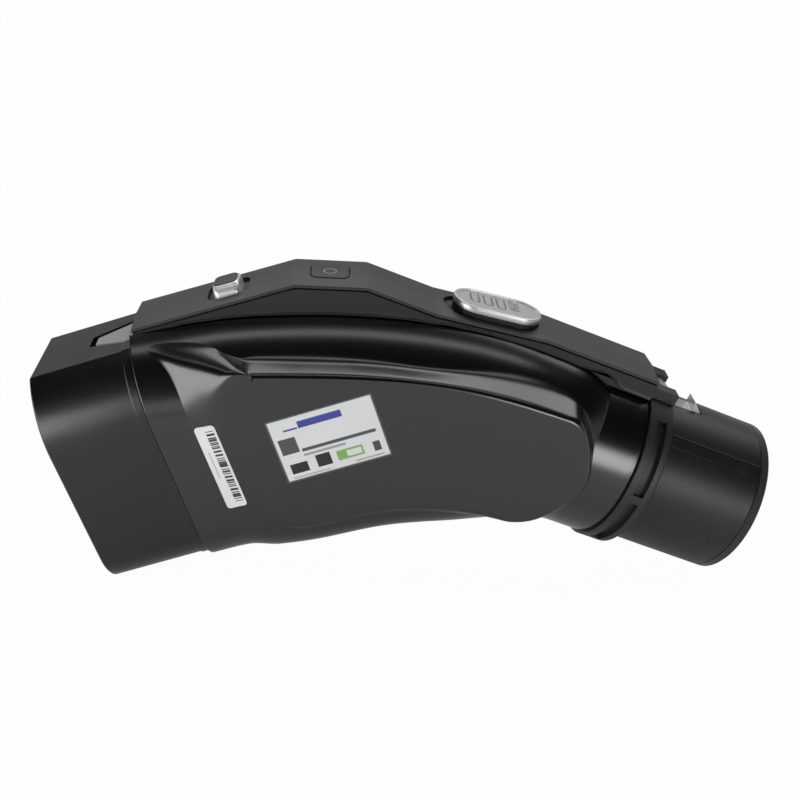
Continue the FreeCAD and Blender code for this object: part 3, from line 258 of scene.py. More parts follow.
# Body: two halves of black satin plastic, injection moulded and screwed together from
# the far side. A round shoulder runs along the bend, a raised flat pillow stands on
# each flank, and the front ends in a round neck. Sizes are in millimetres.
TILT = math.radians(20.0)
SPAN, CAP_HEIGHT, BARREL, EDGE = 308.73, 97.4, 35.0, 0.6
INLET_AT = np.array((-(SPAN + (BARREL - EDGE) * math.sin(TILT)) / 2, 0.0,
                     CAP_HEIGHT * math.cos(TILT) - EDGE * math.sin(TILT)))
PLUG_AT = np.array((INLET_AT[0] + SPAN, 0.0, BARREL * math.cos(TILT) - EDGE * math.sin(TILT)))
SEAM_X, AXIS_DROP, NECK_X = 45.0, 48.7, 63.0
BEND_RADIUS = 200.0
LEAD_IN, ARC_LENGTH = 18.7949, 139.6263
NECK_RADIUS, NECK_BORE, NECK_REACH, NECK_EDGE = 38.0, 35.2, 36.0, 0.5
LOBE, FLAT_HALF = 39.0, 15.5
FACE_Y, RIM_RADIUS = 41.4, 2.8


def inlet_frame(x, y, z):
    """Points of the inlet's frame: x into the body along its falling axis, z up from the cap's flat top."""
    x, y, z = np.broadcast_arrays(x, y, z)
    return np.stack((x * math.cos(TILT) - z * math.sin(TILT), y * 1.0,
                     x * math.sin(TILT) + z * math.cos(TILT)), axis=-1) + INLET_AT


def plug_frame(x, y, z):
    """Points of the plug's frame: x out of the mouth along its falling axis, z away from the axis."""
    x, y, z = np.broadcast_arrays(x, y, z)
    return np.stack((x * math.cos(TILT) + z * math.sin(TILT), y * 1.0,
                     z * math.cos(TILT) - x * math.sin(TILT)), axis=-1) + PLUG_AT


def along_body(run, y, rise):
    """Points beside the body's centre line: a straight, an arc that turns by twice the tilt, and a straight."""
    run, y, rise = np.broadcast_arrays(run, y, rise)
    start = inlet_frame(SEAM_X, 0.0, -AXIS_DROP)
    turned = np.clip(run - LEAD_IN, 0.0, ARC_LENGTH)
    angle = TILT - turned / BEND_RADIUS
    before = np.minimum(run, LEAD_IN)
    after = np.maximum(run - LEAD_IN - ARC_LENGTH, 0.0)
    x = (start[0] + before * math.cos(TILT) + BEND_RADIUS * (math.sin(TILT) - np.sin(angle))
         + after * np.cos(angle) - rise * np.sin(angle))
    z = (start[2] + before * math.sin(TILT) + BEND_RADIUS * (np.cos(angle) - math.cos(TILT))
         + after * np.sin(angle) + rise * np.cos(angle))
    return np.stack((x, y * 1.0, z), axis=-1)


def smooth_rows(rows, at):
    """A smooth curve through a table's rows: cubics with the slope of each row's neighbours."""
    rows = np.asarray(rows, dtype=float)
    keys, values = rows[:, 0], rows[:, 1:]
    slopes = np.empty_like(values)
    slopes[1:-1] = (values[2:] - values[:-2]) / (keys[2:] - keys[:-2])[:, None]
    slopes[0] = (values[1] - values[0]) / (keys[1] - keys[0])
    slopes[-1] = (values[-1] - values[-2]) / (keys[-1] - keys[-2])
    index = np.clip(np.searchsorted(keys, at, side="right") - 1, 0, len(keys) - 2)
    span = keys[index + 1] - keys[index]
    share = ((at - keys[index]) / span)[..., None]
    span = span[..., None]
    return ((2 * share ** 3 - 3 * share ** 2 + 1) * values[index] + (share ** 3 - 2 * share ** 2 + share) * span
            * slopes[index] + (3 * share ** 2 - 2 * share ** 3) * values[index + 1]
            + (share ** 3 - share ** 2) * span * slopes[index + 1])


# Columns: run, lobe radius, lobe rise, foot spread, foot drop, foot radius.
STATIONS = (
    (0.0, LOBE, 17.2, 23.5, 33.4, 17.3), (16.733, LOBE, 14.9, 24.2, 34.9, 16.2),
    (34.056, LOBE, 12.6, 27.0, 39.5, 14.0), (60.041, LOBE, 9.0, 28.5, 41.0, 12.0),
    (94.097, LOBE, 6.3, 27.5, 35.5, 12.5), (127.957, LOBE, 5.1, 23.5, 27.5, 16.0),
    (150.005, LOBE, 4.0, 14.0, 17.0, 24.3), (166.0, LOBE - 0.3, 3.2, 5.6, 6.8, 32.2),
    (176.0, 37.3, 1.6, 2.2, 2.6, 35.2),
    (182.092, 35.3, 0.5, 1.0, 1.0, 36.4),
)
TUBE_END = STATIONS[-1][0]
# Run and inset of the rounded edge at the cap's seam, and the lock plate's slot in the end wall.
SEAM_EDGE = ((0.2, 0.22, 0.3, 0.42, 0.6), (0.4, 0.25, 0.12, 0.03, 0.0))
PLATE_SLOT = ((0.0, 46.2), (5.5, 46.2), (5.5, 48.8), (0.0, 48.8))


def section_of(run):
    """The section's sizes at a run, with the tangent angle that its lobe and foot share and its flat top's rise."""
    lobe, rise, spread, drop, foot = np.moveaxis(smooth_rows(STATIONS, run), -1, 0)
    height = rise + drop
    turn = np.arctan2(spread, height) + np.arcsin((foot - lobe) / np.hypot(height, spread))
    top = rise + np.sqrt(lobe ** 2 - FLAT_HALF ** 2)
    return lobe, rise, spread, drop, foot, turn, top


def tube_width(run, rise):
    """Half width of the tube at a run and rise: lobe arc above, then the tangent line, then the foot arc."""
    lobe, centre, spread, drop, foot, turn, _ = section_of(run)
    upper = centre + lobe * np.sin(turn)
    lower = -drop + foot * np.sin(turn)
    on_lobe = np.sqrt(np.clip(lobe ** 2 - (rise - centre) ** 2, 0.0, None))
    on_foot = spread + np.sqrt(np.clip(foot ** 2 - (rise + drop) ** 2, 0.0, None))
    share = (rise - lower) / np.maximum(upper - lower, 1e-6)
    on_line = (spread + foot * np.cos(turn)) * (1 - share) + lobe * np.cos(turn) * share
    return np.where(rise > upper, on_lobe, np.where(rise > lower, on_line, on_foot))


def tube_half(side, rows=220):
    """Half of the tube: for each run the flat top, lobe arc, tangent line, foot arc and flat bottom, top to bottom."""
    run = np.concatenate((SEAM_EDGE[0], np.linspace(1.0, TUBE_END, rows)))[:, None]
    lobe, centre, spread, drop, foot, turn, top = (value[:, 0, None] for value in section_of(run))
    inset = np.concatenate((SEAM_EDGE[1], np.zeros(rows)))[:, None]
    lobe, foot, top = lobe - inset, foot - inset, top - inset
    across = np.linspace(0.0, 1.0, 7)[None, :-1]
    flat = (FLAT_HALF * across, top + 0.0 * across)
    start = np.arcsin((top - centre) / lobe)
    angle = start + (turn - start) * np.linspace(0.0, 1.0, 90)[None, :]
    arc = (lobe * np.cos(angle), centre + lobe * np.sin(angle))
    angle = turn + (-math.pi / 2 - turn) * np.linspace(0.0, 1.0, 46)[None, :]
    corner = (spread + foot * np.cos(angle), -drop + foot * np.sin(angle))
    share = np.linspace(0.0, 1.0, 22)[None, 1:-1]
    line = tuple(first[:, -1:] * (1 - share) + last[:, :1] * share for first, last in zip(arc, corner))
    below = (spread * (1 - np.linspace(0.0, 1.0, 12)[None, 1:]), -drop - foot + 0.0 * np.linspace(0, 1, 12)[None, 1:])
    pieces = [np.broadcast_arrays(y, rise, run)[:2] for y, rise in (flat, arc, line, corner, below)]
    y, rise = (np.concatenate([piece[k] for piece in pieces], axis=1) for k in (0, 1))
    return along_body(run, side * y, rise)


# The pillow's rim as run and rise, the place where its flank meets the tube, and how
# far the hollow blend between them reaches on either side of that place.
PILLOW = (
    (44.0, 33.3, 44.5, 35.4, 1.8), (52.0, 31.8, 52.0, 34.0, 2.2), (60.0, 30.5, 60.0, 32.8, 2.4),
    (70.0, 29.4, 70.0, 31.6, 2.4), (80.5, 28.6, 80.5, 30.6, 2.2), (90.0, 28.2, 90.0, 29.7, 2.0),
    (100.0, 27.9, 100.0, 28.9, 1.8), (110.0, 27.6, 110.0, 28.8, 1.9), (120.0, 27.2, 120.0, 29.4, 2.2),
    (130.0, 26.7, 130.0, 30.2, 2.6), (138.0, 26.4, 138.2, 30.6, 2.8), (146.0, 26.2, 146.3, 30.6, 2.8),
    (153.0, 26.2, 153.6, 30.3, 2.4), (159.0, 26.3, 160.0, 29.8, 1.6), (162.6, 25.6, 164.2, 28.4, 1.4),
    (165.4, 24.0, 167.2, 26.2, 1.4), (168.8, 20.8, 170.6, 22.4, 1.4), (172.5, 16.0, 174.3, 17.0, 1.4),
    (175.6, 10.4, 177.4, 10.9, 1.4), (177.8, 4.6, 179.5, 4.8, 1.4), (178.5, -0.8, 180.1, -0.9, 1.4),
    (177.4, -7.0, 178.9, -7.4, 1.4), (174.6, -13.6, 175.9, -14.4, 1.4), (170.6, -19.6, 171.6, -20.8, 1.4),
    (165.0, -25.2, 165.5, -26.8, 1.4), (157.5, -28.8, 157.6, -30.6, 1.4), (149.0, -29.5, 149.0, -31.3, 1.4),
    (140.5, -29.6, 140.5, -31.4, 1.4), (130.0, -30.0, 130.0, -31.8, 1.4), (120.0, -30.6, 120.0, -32.3, 1.4),
    (109.0, -31.6, 109.0, -33.2, 1.4), (98.0, -33.0, 98.0, -34.5, 1.4), (87.0, -34.8, 87.0, -36.2, 1.4),
    (76.0, -37.0, 76.0, -38.2, 1.4), (66.0, -38.8, 66.0, -39.8, 1.4), (56.0, -40.0, 55.8, -41.0, 1.6),
    (48.0, -39.8, 47.3, -40.9, 1.8), (41.0, -38.2, 39.5, -39.4, 2.4), (35.4, -34.8, 32.6, -36.2, 3.2),
    (31.0, -30.2, 27.0, -31.6, 4.0), (28.2, -24.4, 23.0, -25.4, 4.6), (26.3, -17.6, 20.0, -18.2, 5.0),
    (25.0, -10.6, 17.4, -10.8, 5.0), (24.2, -3.4, 15.2, -3.2, 4.6), (23.8, 3.4, 13.7, 4.0, 4.0),
    (23.9, 9.6, 12.9, 11.0, 3.2), (24.4, 14.6, 12.7, 17.6, 2.4), (25.2, 18.6, 13.1, 23.4, 2.2),
    (26.1, 22.0, 13.9, 28.2, 2.6), (27.3, 25.2, 14.5, 32.6, 3.2), (28.8, 28.0, 14.4, 36.6, 3.4),
    (30.6, 30.4, 13.4, 40.0, 3.4), (32.4, 32.2, 11.0, 43.2, 3.2), (34.0, 33.7, 7.0, 45.8, 2.8),
    (35.3, 34.8, 4.6, 48.4, 2.4), (36.3, 35.5, 11.0, 48.4, 2.8), (37.2, 35.9, 20.0, 46.3, 3.2),
    (38.1, 36.1, 27.4, 43.8, 3.2), (39.1, 35.9, 32.4, 41.0, 3.0), (40.3, 35.3, 36.4, 38.0, 2.4),
    (41.9, 34.4, 40.2, 36.1, 1.4),
)
SCREW_PLACES = ((50.0, 18.0), (47.0, -24.0), (158.0, 12.0), (154.0, -16.0))
SCREW_ROOM, SCREW_SINK = 3.5, 3.0
# Where the rings are evened out along the pillow: first row, how many rows, and how many
# points either way. The horn is evened out all over, its corner more and more inwards.
HORN_SOFT, CORNER_SOFT = (42.0, 13.0, 13), (43.0, 17.0, 36)


def ring_spline(rows, count):
    """Evenly many points on a closed smooth curve through the rows: cubics with the slope of each row's neighbours."""
    rows = np.asarray(rows, dtype=float)
    at = np.linspace(0.0, len(rows), count, endpoint=False)
    index = at.astype(int)
    share = (at - index)[:, None]
    before, first, second, after = (rows[(index + shift) % len(rows)] for shift in (-1, 0, 1, 2))
    return 0.5 * (2 * first + (second - before) * share + (2 * before - 5 * first + 4 * second - after) * share ** 2
                  + (3 * first - 3 * second + after - before) * share ** 3)


def evened(rings, first, rows, reach):
    """Rings whose points near some rows of the pillow are the mean of their neighbours, with the share of it."""
    count = rings.shape[1]
    mean = sum(np.roll(rings, shift, axis=1) for shift in range(-reach, reach + 1)) / (2 * reach + 1)
    place = (np.arange(count) / count * len(PILLOW) - first) % len(PILLOW) / rows
    share = np.clip(1.6 * np.sin(math.pi * np.clip(place, 0.0, 1.0)), 0.0, 1.0)[None, :, None]
    return mean, share


def pillow_rings(side, count=640):
    """Rings of the pillow from outside in: a hollow blend off the tube, a straight flank, a round rim, a flat face.

    The blend is a Bezier arc whose middle point is where flank and tube meet."""
    rim_run, rim_rise, foot_run, foot_rise, reach = ring_spline(PILLOW, count).T
    foot = np.stack((foot_run, tube_width(foot_run, foot_rise), foot_rise), axis=-1)
    rim = np.stack((rim_run, np.full(count, FACE_Y), rim_rise), axis=-1)
    away = (foot - rim)[:, [0, 2]]
    away /= np.maximum(np.linalg.norm(away, axis=1, keepdims=True), 1e-6)
    out_run = np.maximum(foot_run + away[:, 0] * reach, 0.02)
    out_rise = foot_rise + away[:, 1] * reach
    outer = np.stack((out_run, tube_width(out_run, out_rise), out_rise), axis=-1)
    flank = rim - foot
    length = np.linalg.norm(flank, axis=1, keepdims=True)
    flank /= length
    inner = foot + flank * np.minimum(reach[:, None] * 1.3, 0.45 * length)
    tuck = outer - np.array((0.0, 0.25, 0.0))
    rings = [tuck]
    for share in np.linspace(0.0, 1.0, 9):
        rings.append((1 - share) ** 2 * outer + 2 * share * (1 - share) * foot + share ** 2 * inner)
    soft = np.minimum(RIM_RADIUS, 0.4 * length)
    edge = rim - flank * soft
    for share in np.linspace(0.0, 1.0, 7)[1:-1]:
        rings.append(inner * (1 - share) + edge * share)
    inward = np.stack((-away[:, 0], np.zeros(count), -away[:, 1]), axis=-1)
    landing = rim + inward * RIM_RADIUS * 0.8
    for share in np.linspace(0.0, 1.0, 9):
        rings.append((1 - share) ** 2 * edge + 2 * share * (1 - share) * rim + share ** 2 * landing)
    rings.append(landing + inward * 0.5)
    rings = np.array(rings)
    mean, share = evened(rings, *HORN_SOFT)
    rings = rings * (1 - share) + mean * share
    mean, share = evened(rings, *CORNER_SOFT)
    share = share * np.linspace(0.0, 1.0, len(rings))[:, None, None]
    rings = rings * (1 - share) + mean * share
    return along_body(rings[..., 0], side * rings[..., 1], rings[..., 2])


def circle_on(run, rise, radius, y, count=40):
    """A circle in the side view about a place beside the centre line, at one depth."""
    centre = along_body(run, y, rise)
    angle = np.linspace(0.0, 2 * math.pi, count, endpoint=False)
    return centre + radius * np.stack((np.cos(angle), 0 * angle, np.sin(angle)), axis=-1)


WELD = 2e-6


class Skin:
    """Gathers grids and flat faces in millimetres and makes one welded mesh of them."""

    def __init__(self):
        self.points = []
        self.faces = []
        self.size = 0

    def grid(self, points, loop=False, flip=False):
        """Quads between neighbouring rows and columns; loop joins the last column to the first."""
        rows, columns = points.shape[:2]
        index = np.arange(rows * columns).reshape(rows, columns) + self.size
        if loop:
            index = np.concatenate((index, index[:, :1]), axis=1)
        quads = np.stack((index[:-1, :-1], index[1:, :-1], index[1:, 1:], index[:-1, 1:]), axis=-1).reshape(-1, 4)
        self.faces += (quads[:, ::-1] if flip else quads).tolist()
        self.points.append(points.reshape(-1, 3))
        self.size += rows * columns

    def flat(self, outline, facing, holes=()):
        """Triangles that fill a flat outline around its holes, seen from the side that facing points to."""
        loops = [[Vector(point) for point in loop] for loop in (outline, *holes)]
        triangles = np.array(tessellate_polygon(loops))
        points = np.concatenate((outline, *holes))
        corners = points[triangles]
        normal = np.cross(corners[:, 1] - corners[:, 0], corners[:, 2] - corners[:, 0]).sum(axis=0)
        triangles = triangles + self.size
        self.faces += (triangles[:, ::-1] if normal @ facing < 0 else triangles).tolist()
        self.points.append(points)
        self.size += len(points)

    def made(self, name, body, shader, replaces=(), crease=35.0):
        """The finished object, riding on a body and standing for CAD nodes."""
        mesh = bpy.data.meshes.new(name)
        mesh.from_pydata((np.concatenate(self.points) * 0.001).tolist(), [], self.faces)
        work = bmesh.new()
        work.from_mesh(mesh)
        bmesh.ops.remove_doubles(work, verts=work.verts, dist=WELD)
        work.to_mesh(mesh)
        work.free()
        mesh.shade_smooth()
        mesh.set_sharp_from_angle(angle=math.radians(crease))
        mesh.materials.append(shader.material)
        piece = bpy.data.objects.new(name, mesh)
        scene.collection.objects.link(piece)
        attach(piece, body)
        if replaces:
            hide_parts(*replaces)


def neck_rings(side, columns=120):
    """Half of the neck from its hidden root to its front edge, rounded by a quarter arc, and in to the bore."""
    turn = np.linspace(0.0, math.pi / 2, 6)
    x = np.concatenate(([-NECK_X - NECK_REACH], np.linspace(-NECK_X - 30.0, -NECK_X - NECK_EDGE, 12),
                        -NECK_X - NECK_EDGE + NECK_EDGE * np.sin(turn), [-NECK_X]))
    radius = np.concatenate((np.full(13, NECK_RADIUS), NECK_RADIUS - NECK_EDGE + NECK_EDGE * np.cos(turn), [NECK_BORE]))
    angle = np.linspace(math.pi / 2, -math.pi / 2, columns)
    return plug_frame(x[:, None], side * radius[:, None] * np.cos(angle), radius[:, None] * np.sin(angle))


def body_half(name, side, replaces, screws):
    """One moulded half: tube with both ends closed, neck, and pillow with its screw wells."""
    skin = Skin()
    outward = np.array((0.0, float(side), 0.0))
    inlet_way = inlet_frame(1.0, 0.0, 0.0) - INLET_AT
    tube = tube_half(side)
    skin.grid(tube, flip=side < 0)
    slot = np.array(PLATE_SLOT)
    slot_edge = along_body(SEAM_EDGE[0][0], side * slot[:, 0], slot[:, 1])
    skin.flat(np.concatenate((tube[0], slot_edge)), -inlet_way)
    skin.flat(tube[-1], inlet_way)
    skin.grid(neck_rings(side), flip=side < 0)
    rings = pillow_rings(side)
    skin.grid(rings, loop=True, flip=side > 0)
    wells = [circle_on(run, rise, SCREW_ROOM, side * FACE_Y) for run, rise in screws]
    skin.flat(rings[-1], outward, wells)
    for well in wells:
        sunk = well - outward * SCREW_SINK
        skin.grid(np.stack((well, sunk)), loop=True, flip=side < 0)
        skin.flat(sunk, outward)
    skin.made(name, "housing", satin, replaces)


def grained(name, color, roughness, grain=0.0004, relief=0.000004, spread=0.06, bevel=0.0, **settings):
    """Moulded plastic: fine grain in the normal, slow clouds in the roughness, and soft edges where asked."""
    shader = Shader(name, color, roughness, **settings)
    shader.clouds(roughness, spread)
    if bevel:
        shader.soften(bevel)
    shader.bump(shader.noise(grain), relief)
    return shader


satin = grained("satin_black", (0.0024, 0.0024, 0.0027), 0.22, spread=0.025, Specular_IOR_Level=0.9)
body_half("body_skin_near", -1, ("body_shell_near",), ())
body_half("body_skin_far", 1, ("body_shell_far",), SCREW_PLACES)


# Case screws: four turned steel screws that hold the far half to the near one, each in a
# round well of the far pillow.
def shade(shader, *nodes):
    """Give CAD nodes one material."""
    for node in nodes:
        slots = NODES[node].data.materials
        slots.clear()
        slots.append(shader.material)


steel = grained("steel", (0.52, 0.52, 0.53), 0.3, grain=0.0008, relief=0.000003, bevel=0.0003, Metallic=1.0)
shade(steel, "screw_1", "screw_2", "screw_3", "screw_4")

# Inlet: a flat-topped sleeve of satin black plastic, moulded in one and pushed over the
# body's rear end. It holds a matte insulator with towers round silver-plated pins.
cap_satin = grained("cap_satin", (0.002, 0.002, 0.0023), 0.26, bevel=0.0006, Specular_IOR_Level=0.65)
insulator = grained("insulator", (0.014, 0.014, 0.015), 0.5, bevel=0.0004)
contact_silver = grained("contact_silver", (0.62, 0.6, 0.56), 0.25, grain=0.002, relief=0.000002, Metallic=1.0)
shade(cap_satin, "inlet_cap")
shade(insulator, "inlet_base", "inlet_tower", "power_tower_1", "power_tower_2")
shade(contact_silver, "earth_pin", "pilot_pin_1", "pilot_pin_2", "dc_pin_1", "dc_pin_2")


# Plug barrel: a round tube of matte black plastic with a tapered mouth band, handled, so
# that fine dust and faint smears lie on it. It is clamped in the collar.
def in_frame(shader, origin, way):
    """Millimetres along a direction in the side view, square to it upwards, and across, from Object coordinates."""
    x, y, z = shader.parts(shader.place())
    x = (x * 1000.0) - float(origin[0])
    z = (z * 1000.0) - float(origin[2])
    return x * float(way[0]) + z * float(way[2]), z * float(way[0]) - x * float(way[2]), y * 1000.0


MOUTH_BAND, MOUTH_TAPER = 4.5, 0.0017
BARREL_BLACK, DUST_GREY = (0.0075, 0.0075, 0.0085), (0.16, 0.16, 0.17)
barrel_satin = Shader("barrel_satin", BARREL_BLACK, 0.42)
barrel_satin.clouds(0.42, 0.06)
specks = barrel_satin.noise(0.0012, 0.0).step(0.72, 0.80) * barrel_satin.noise(0.012, 2.0).step(0.5, 0.62)
smears = barrel_satin.noise(0.007, 4.0, 0.7).step(0.52, 0.75)
barrel_satin.set("Base Color", barrel_satin.mix((specks * 0.2 + smears * 0.06).clamped(), BARREL_BLACK, DUST_GREY))
mouth_along, _, _ = in_frame(barrel_satin, PLUG_AT, plug_frame(1.0, 0.0, 0.0) - PLUG_AT)
barrel_satin.soften(0.0004)
barrel_satin.bump(1.0 - ((mouth_along + MOUTH_BAND) / MOUTH_BAND).clamped(), MOUTH_TAPER)
barrel_satin.bump(barrel_satin.noise(0.0004), 0.000004)
shade(barrel_satin, "plug_barrel")

# Plug collar and insulator: a matte black clamp ring with two cheeks and arc windows,
# screwed to the neck, and behind it the contact carrier with its sleeves.
collar_matte = grained("collar_matte", (0.017, 0.017, 0.018), 0.46, bevel=0.0004)
shade(collar_matte, "plug_collar")
shade(insulator, "plug_floor", "signal_block_1", "signal_block_2", "socket_tube_1", "socket_tube_2")
shade(contact_silver, "dc_socket_1", "dc_socket_2", *(f"signal_socket_{k}" for k in range(1, 9)))

# Latch: a stamped steel claw that tips on a dark cross pin in the collar, pushed up by a
# coiled steel spring.
base_matte = grained("base_matte", (0.008, 0.008, 0.0085), 0.42)
shade(steel, "latch_claw", "latch_spring")
shade(base_matte, "latch_pin")

# Inside: two bent copper bars from the inlet's pins to the plug's sockets, a control
# board of green laminate, and a wrapped backup cell clipped beside it.
copper = grained("copper", (0.6, 0.27, 0.14), 0.35, grain=0.002, relief=0.000003, Metallic=1.0)
board_green = grained("board_green", (0.02, 0.09, 0.04), 0.4, bevel=0.0002)
cell_wrap = grained("cell_wrap", (0.02, 0.05, 0.16), 0.35)
shade(copper, "dc_conductor_1", "dc_conductor_2")
shade(board_green, "control_board")
shade(cell_wrap, "battery_cell")

# Spine cover: a matte moulded roof of five facets with a faint ridge, its near and far
# edges rounded, with openings for the knob, the button and the slider. Each facet is a
# flat pair of slopes around its opening, and short curved strips join the facets.
SPINE = ((1.7, 55.5), (59.7, 59.5), (83.2, 56.7), (106.6, 47.2), (146.2, 46.1), (196.36, 46.0))
COVER_HALF, COVER_FALL, COVER_DEEP, COVER_ROUND = 15.0, 0.93, 2.0, 0.5
FACET_SOFT, HOLE_TAIL = 0.9, 0.4
chain = np.array([along_body(run, 0.0, rise) for run, rise in SPINE])
chain_step = chain[1:] - chain[:-1]
chain_length = np.linalg.norm(chain_step, axis=1)
chain_way = chain_step / chain_length[:, None]


class Frame:
    """Flat axes on the spine: x along a facet towards the plug, y across, z out of it."""

    def __init__(self, facet, share):
        self.origin = chain[facet] + chain_step[facet] * share
        self.x = chain_way[facet]
        self.z = np.array((-self.x[2], 0.0, self.x[0]))

    def at(self, x, y, z):
        x, y, z = np.broadcast_arrays(x, y, z)
        return (self.origin + x[..., None] * self.x + y[..., None] * np.array((0.0, 1.0, 0.0))
                + z[..., None] * self.z)


KNOB_AT, BUTTON_AT, SLIDER_AT = Frame(0, 0.589), Frame(1, 0.485), Frame(3, 0.54)


def round_box(half_x, half_y, radius, steps=10):
    """A rectangle with round corners, counter-clockwise from the right end's middle, as x and y."""
    angle = np.linspace(0.0, math.pi / 2, steps)
    quarter = np.stack((half_x - radius + radius * np.cos(angle), half_y - radius + radius * np.sin(angle)), axis=1)
    second = quarter[::-1] * (-1, 1)
    upper = np.concatenate((quarter, second))
    return np.concatenate((upper, -upper))


# Each opening: its facet, its frame, its outline, and how far it is set off along the facet.
HOLES = (
    (0, KNOB_AT, round_box(9.0, 8.5, 4.6), 0.0),
    (1, BUTTON_AT, round_box(8.25, 7.25, 3.5), 0.0),
    (3, SLIDER_AT, round_box(21.3, 10.4, 10.35, 20), -1.7),
)


def roof_fall(y):
    """How far the roof lies below its ridge: a straight fall with the ridge rounded off."""
    return COVER_FALL / COVER_HALF * (np.sqrt(np.asarray(y) ** 2 + 0.25) - 0.5)


def cover_profile():
    """Half of the cover's section from the ridge over the round edge to the underside, as y and depth."""
    turn = np.linspace(0.0, math.pi / 2, 6)
    edge_y = COVER_HALF - COVER_ROUND + COVER_ROUND * np.sin(turn)
    edge_depth = roof_fall(COVER_HALF - COVER_ROUND) + COVER_ROUND * (1 - np.cos(turn))
    return (np.concatenate((edge_y, [COVER_HALF])), np.concatenate((edge_depth, [COVER_DEEP])))


def chain_rows():
    """Stations along the spine with their downward directions: both trimmed ends of every facet, and three
    between facets that round the corner."""
    places, downs, ends = [], [], []
    for k in range(5):
        way = chain_way[k]
        down = np.array((way[2], 0.0, -way[0]))
        start = chain[k] + way * (FACET_SOFT if k else 0.0)
        end = chain[k + 1] - way * (FACET_SOFT if k < 4 else 0.0)
        ends.append((len(places), len(places) + 1))
        places += [start, end]
        downs += [down, down]
        if k < 4:
            following = chain_way[k + 1]
            next_down = np.array((following[2], 0.0, -following[0]))
            next_start = chain[k + 1] + following * FACET_SOFT
            for share in (0.25, 0.5, 0.75):
                places.append((1 - share) ** 2 * end + 2 * share * (1 - share) * chain[k + 1] + share ** 2 * next_start)
                mixed = down * (1 - share) + next_down * share
                downs.append(mixed / np.linalg.norm(mixed))
    return np.array(places), np.array(downs), ends


def cover_piece():
    """The cover: side strips run the whole length; each facet's two slopes go round its opening."""
    skin = Skin()
    places, downs, ends = chain_rows()
    edge_y, edge_depth = cover_profile()
    across = np.array((0.0, 1.0, 0.0))
    holes = {facet: (frame_at, ring + np.array((shift, 0.0))) for facet, frame_at, ring, shift in HOLES}
    for side in (-1, 1):
        rows = places[:, None] + side * edge_y[None, :, None] * across + edge_depth[None, :, None] * downs[:, None]
        skin.grid(rows, flip=side < 0)
        inner_y = np.array((COVER_HALF, 0.0))
        under = places[:, None] + side * inner_y[None, :, None] * across + COVER_DEEP * downs[:, None]
        skin.grid(under, flip=side < 0)
        top_y = np.linspace(0.0, COVER_HALF - COVER_ROUND, 9)
        top = (places[:, None] + side * top_y[None, :, None] * across
               + roof_fall(top_y)[None, :, None] * downs[:, None])
        for (_, last), (first, _) in zip(ends[:-1], ends[1:]):
            skin.grid(top[last:first + 1], flip=side < 0)
        for facet, (first, last) in enumerate(ends):
            if facet not in holes:
                skin.grid(top[first:last + 1], flip=side < 0)
                continue
            frame_at, ring = holes[facet]
            start = (places[first] - frame_at.origin) @ frame_at.x
            end = (places[last] - frame_at.origin) @ frame_at.x
            half = ring[ring[:, 1] * side >= -1e-9]
            half = half[np.argsort(np.arctan2(half[:, 1] * side, half[:, 0]))]
            half = np.concatenate(([[half[0, 0], 0.0]], half, [[half[-1, 0], 0.0]]))
            edge = np.concatenate(([[start, 0.0]], [[start, side * (COVER_HALF - COVER_ROUND)]],
                                   [[end, side * (COVER_HALF - COVER_ROUND)]], [[end, 0.0]], half))
            skin.flat(frame_at.at(edge[:, 0], edge[:, 1], -roof_fall(edge[:, 1])), -downs[first])
    for frame_at, ring in holes.values():
        rows = [frame_at.at(ring[:, 0], ring[:, 1], -roof_fall(ring[:, 1]) if k == 0 else level)
                for k, level in enumerate((0.0, -0.9, -COVER_DEEP - HOLE_TAIL))]
        skin.grid(np.stack(rows), loop=True, flip=True)
    for row, outward in ((0, -chain_way[0]), (-1, chain_way[-1])):
        section_y = np.concatenate((edge_y, -edge_y[::-1]))
        section_depth = np.concatenate((edge_depth, edge_depth[::-1]))
        skin.flat(places[row] + section_y[:, None] * across + section_depth[:, None] * downs[row], outward)
    skin.made("cover_skin", "housing", cover_matte, ("spine_cover",), crease=18.0)


cover_matte = grained("cover_matte", (0.026, 0.026, 0.027), 0.5)
cover_piece()

# Spine base: the matte black block that carries the cover, screwed down on the body. Its
# side ends in a thin flared lip, below which it steps in to a dark groove over the body.
# The lip's line, as run and rise:
BASE_LIP = (
    (-4.0, 52.4), (2.3, 52.4), (15.9, 51.8), (31.9, 49.5), (41.2, 48.6), (53.4, 47.0), (65.7, 45.7), (78.1, 44.4),
    (90.6, 43.8), (104.4, 42.3), (114.3, 42.5), (124.5, 41.7), (135.2, 40.4), (146.2, 39.7), (157.5, 39.3),
    (165.2, 39.8), (172.8, 40.9), (176.1, 40.1), (182.1, 36.6), (196.3, 36.4), (200.0, 36.4),
)
BASE_HALF, BASE_GAP, BASE_GROOVE, BASE_WELL = 15.1, 0.5, 13.6, 5.0


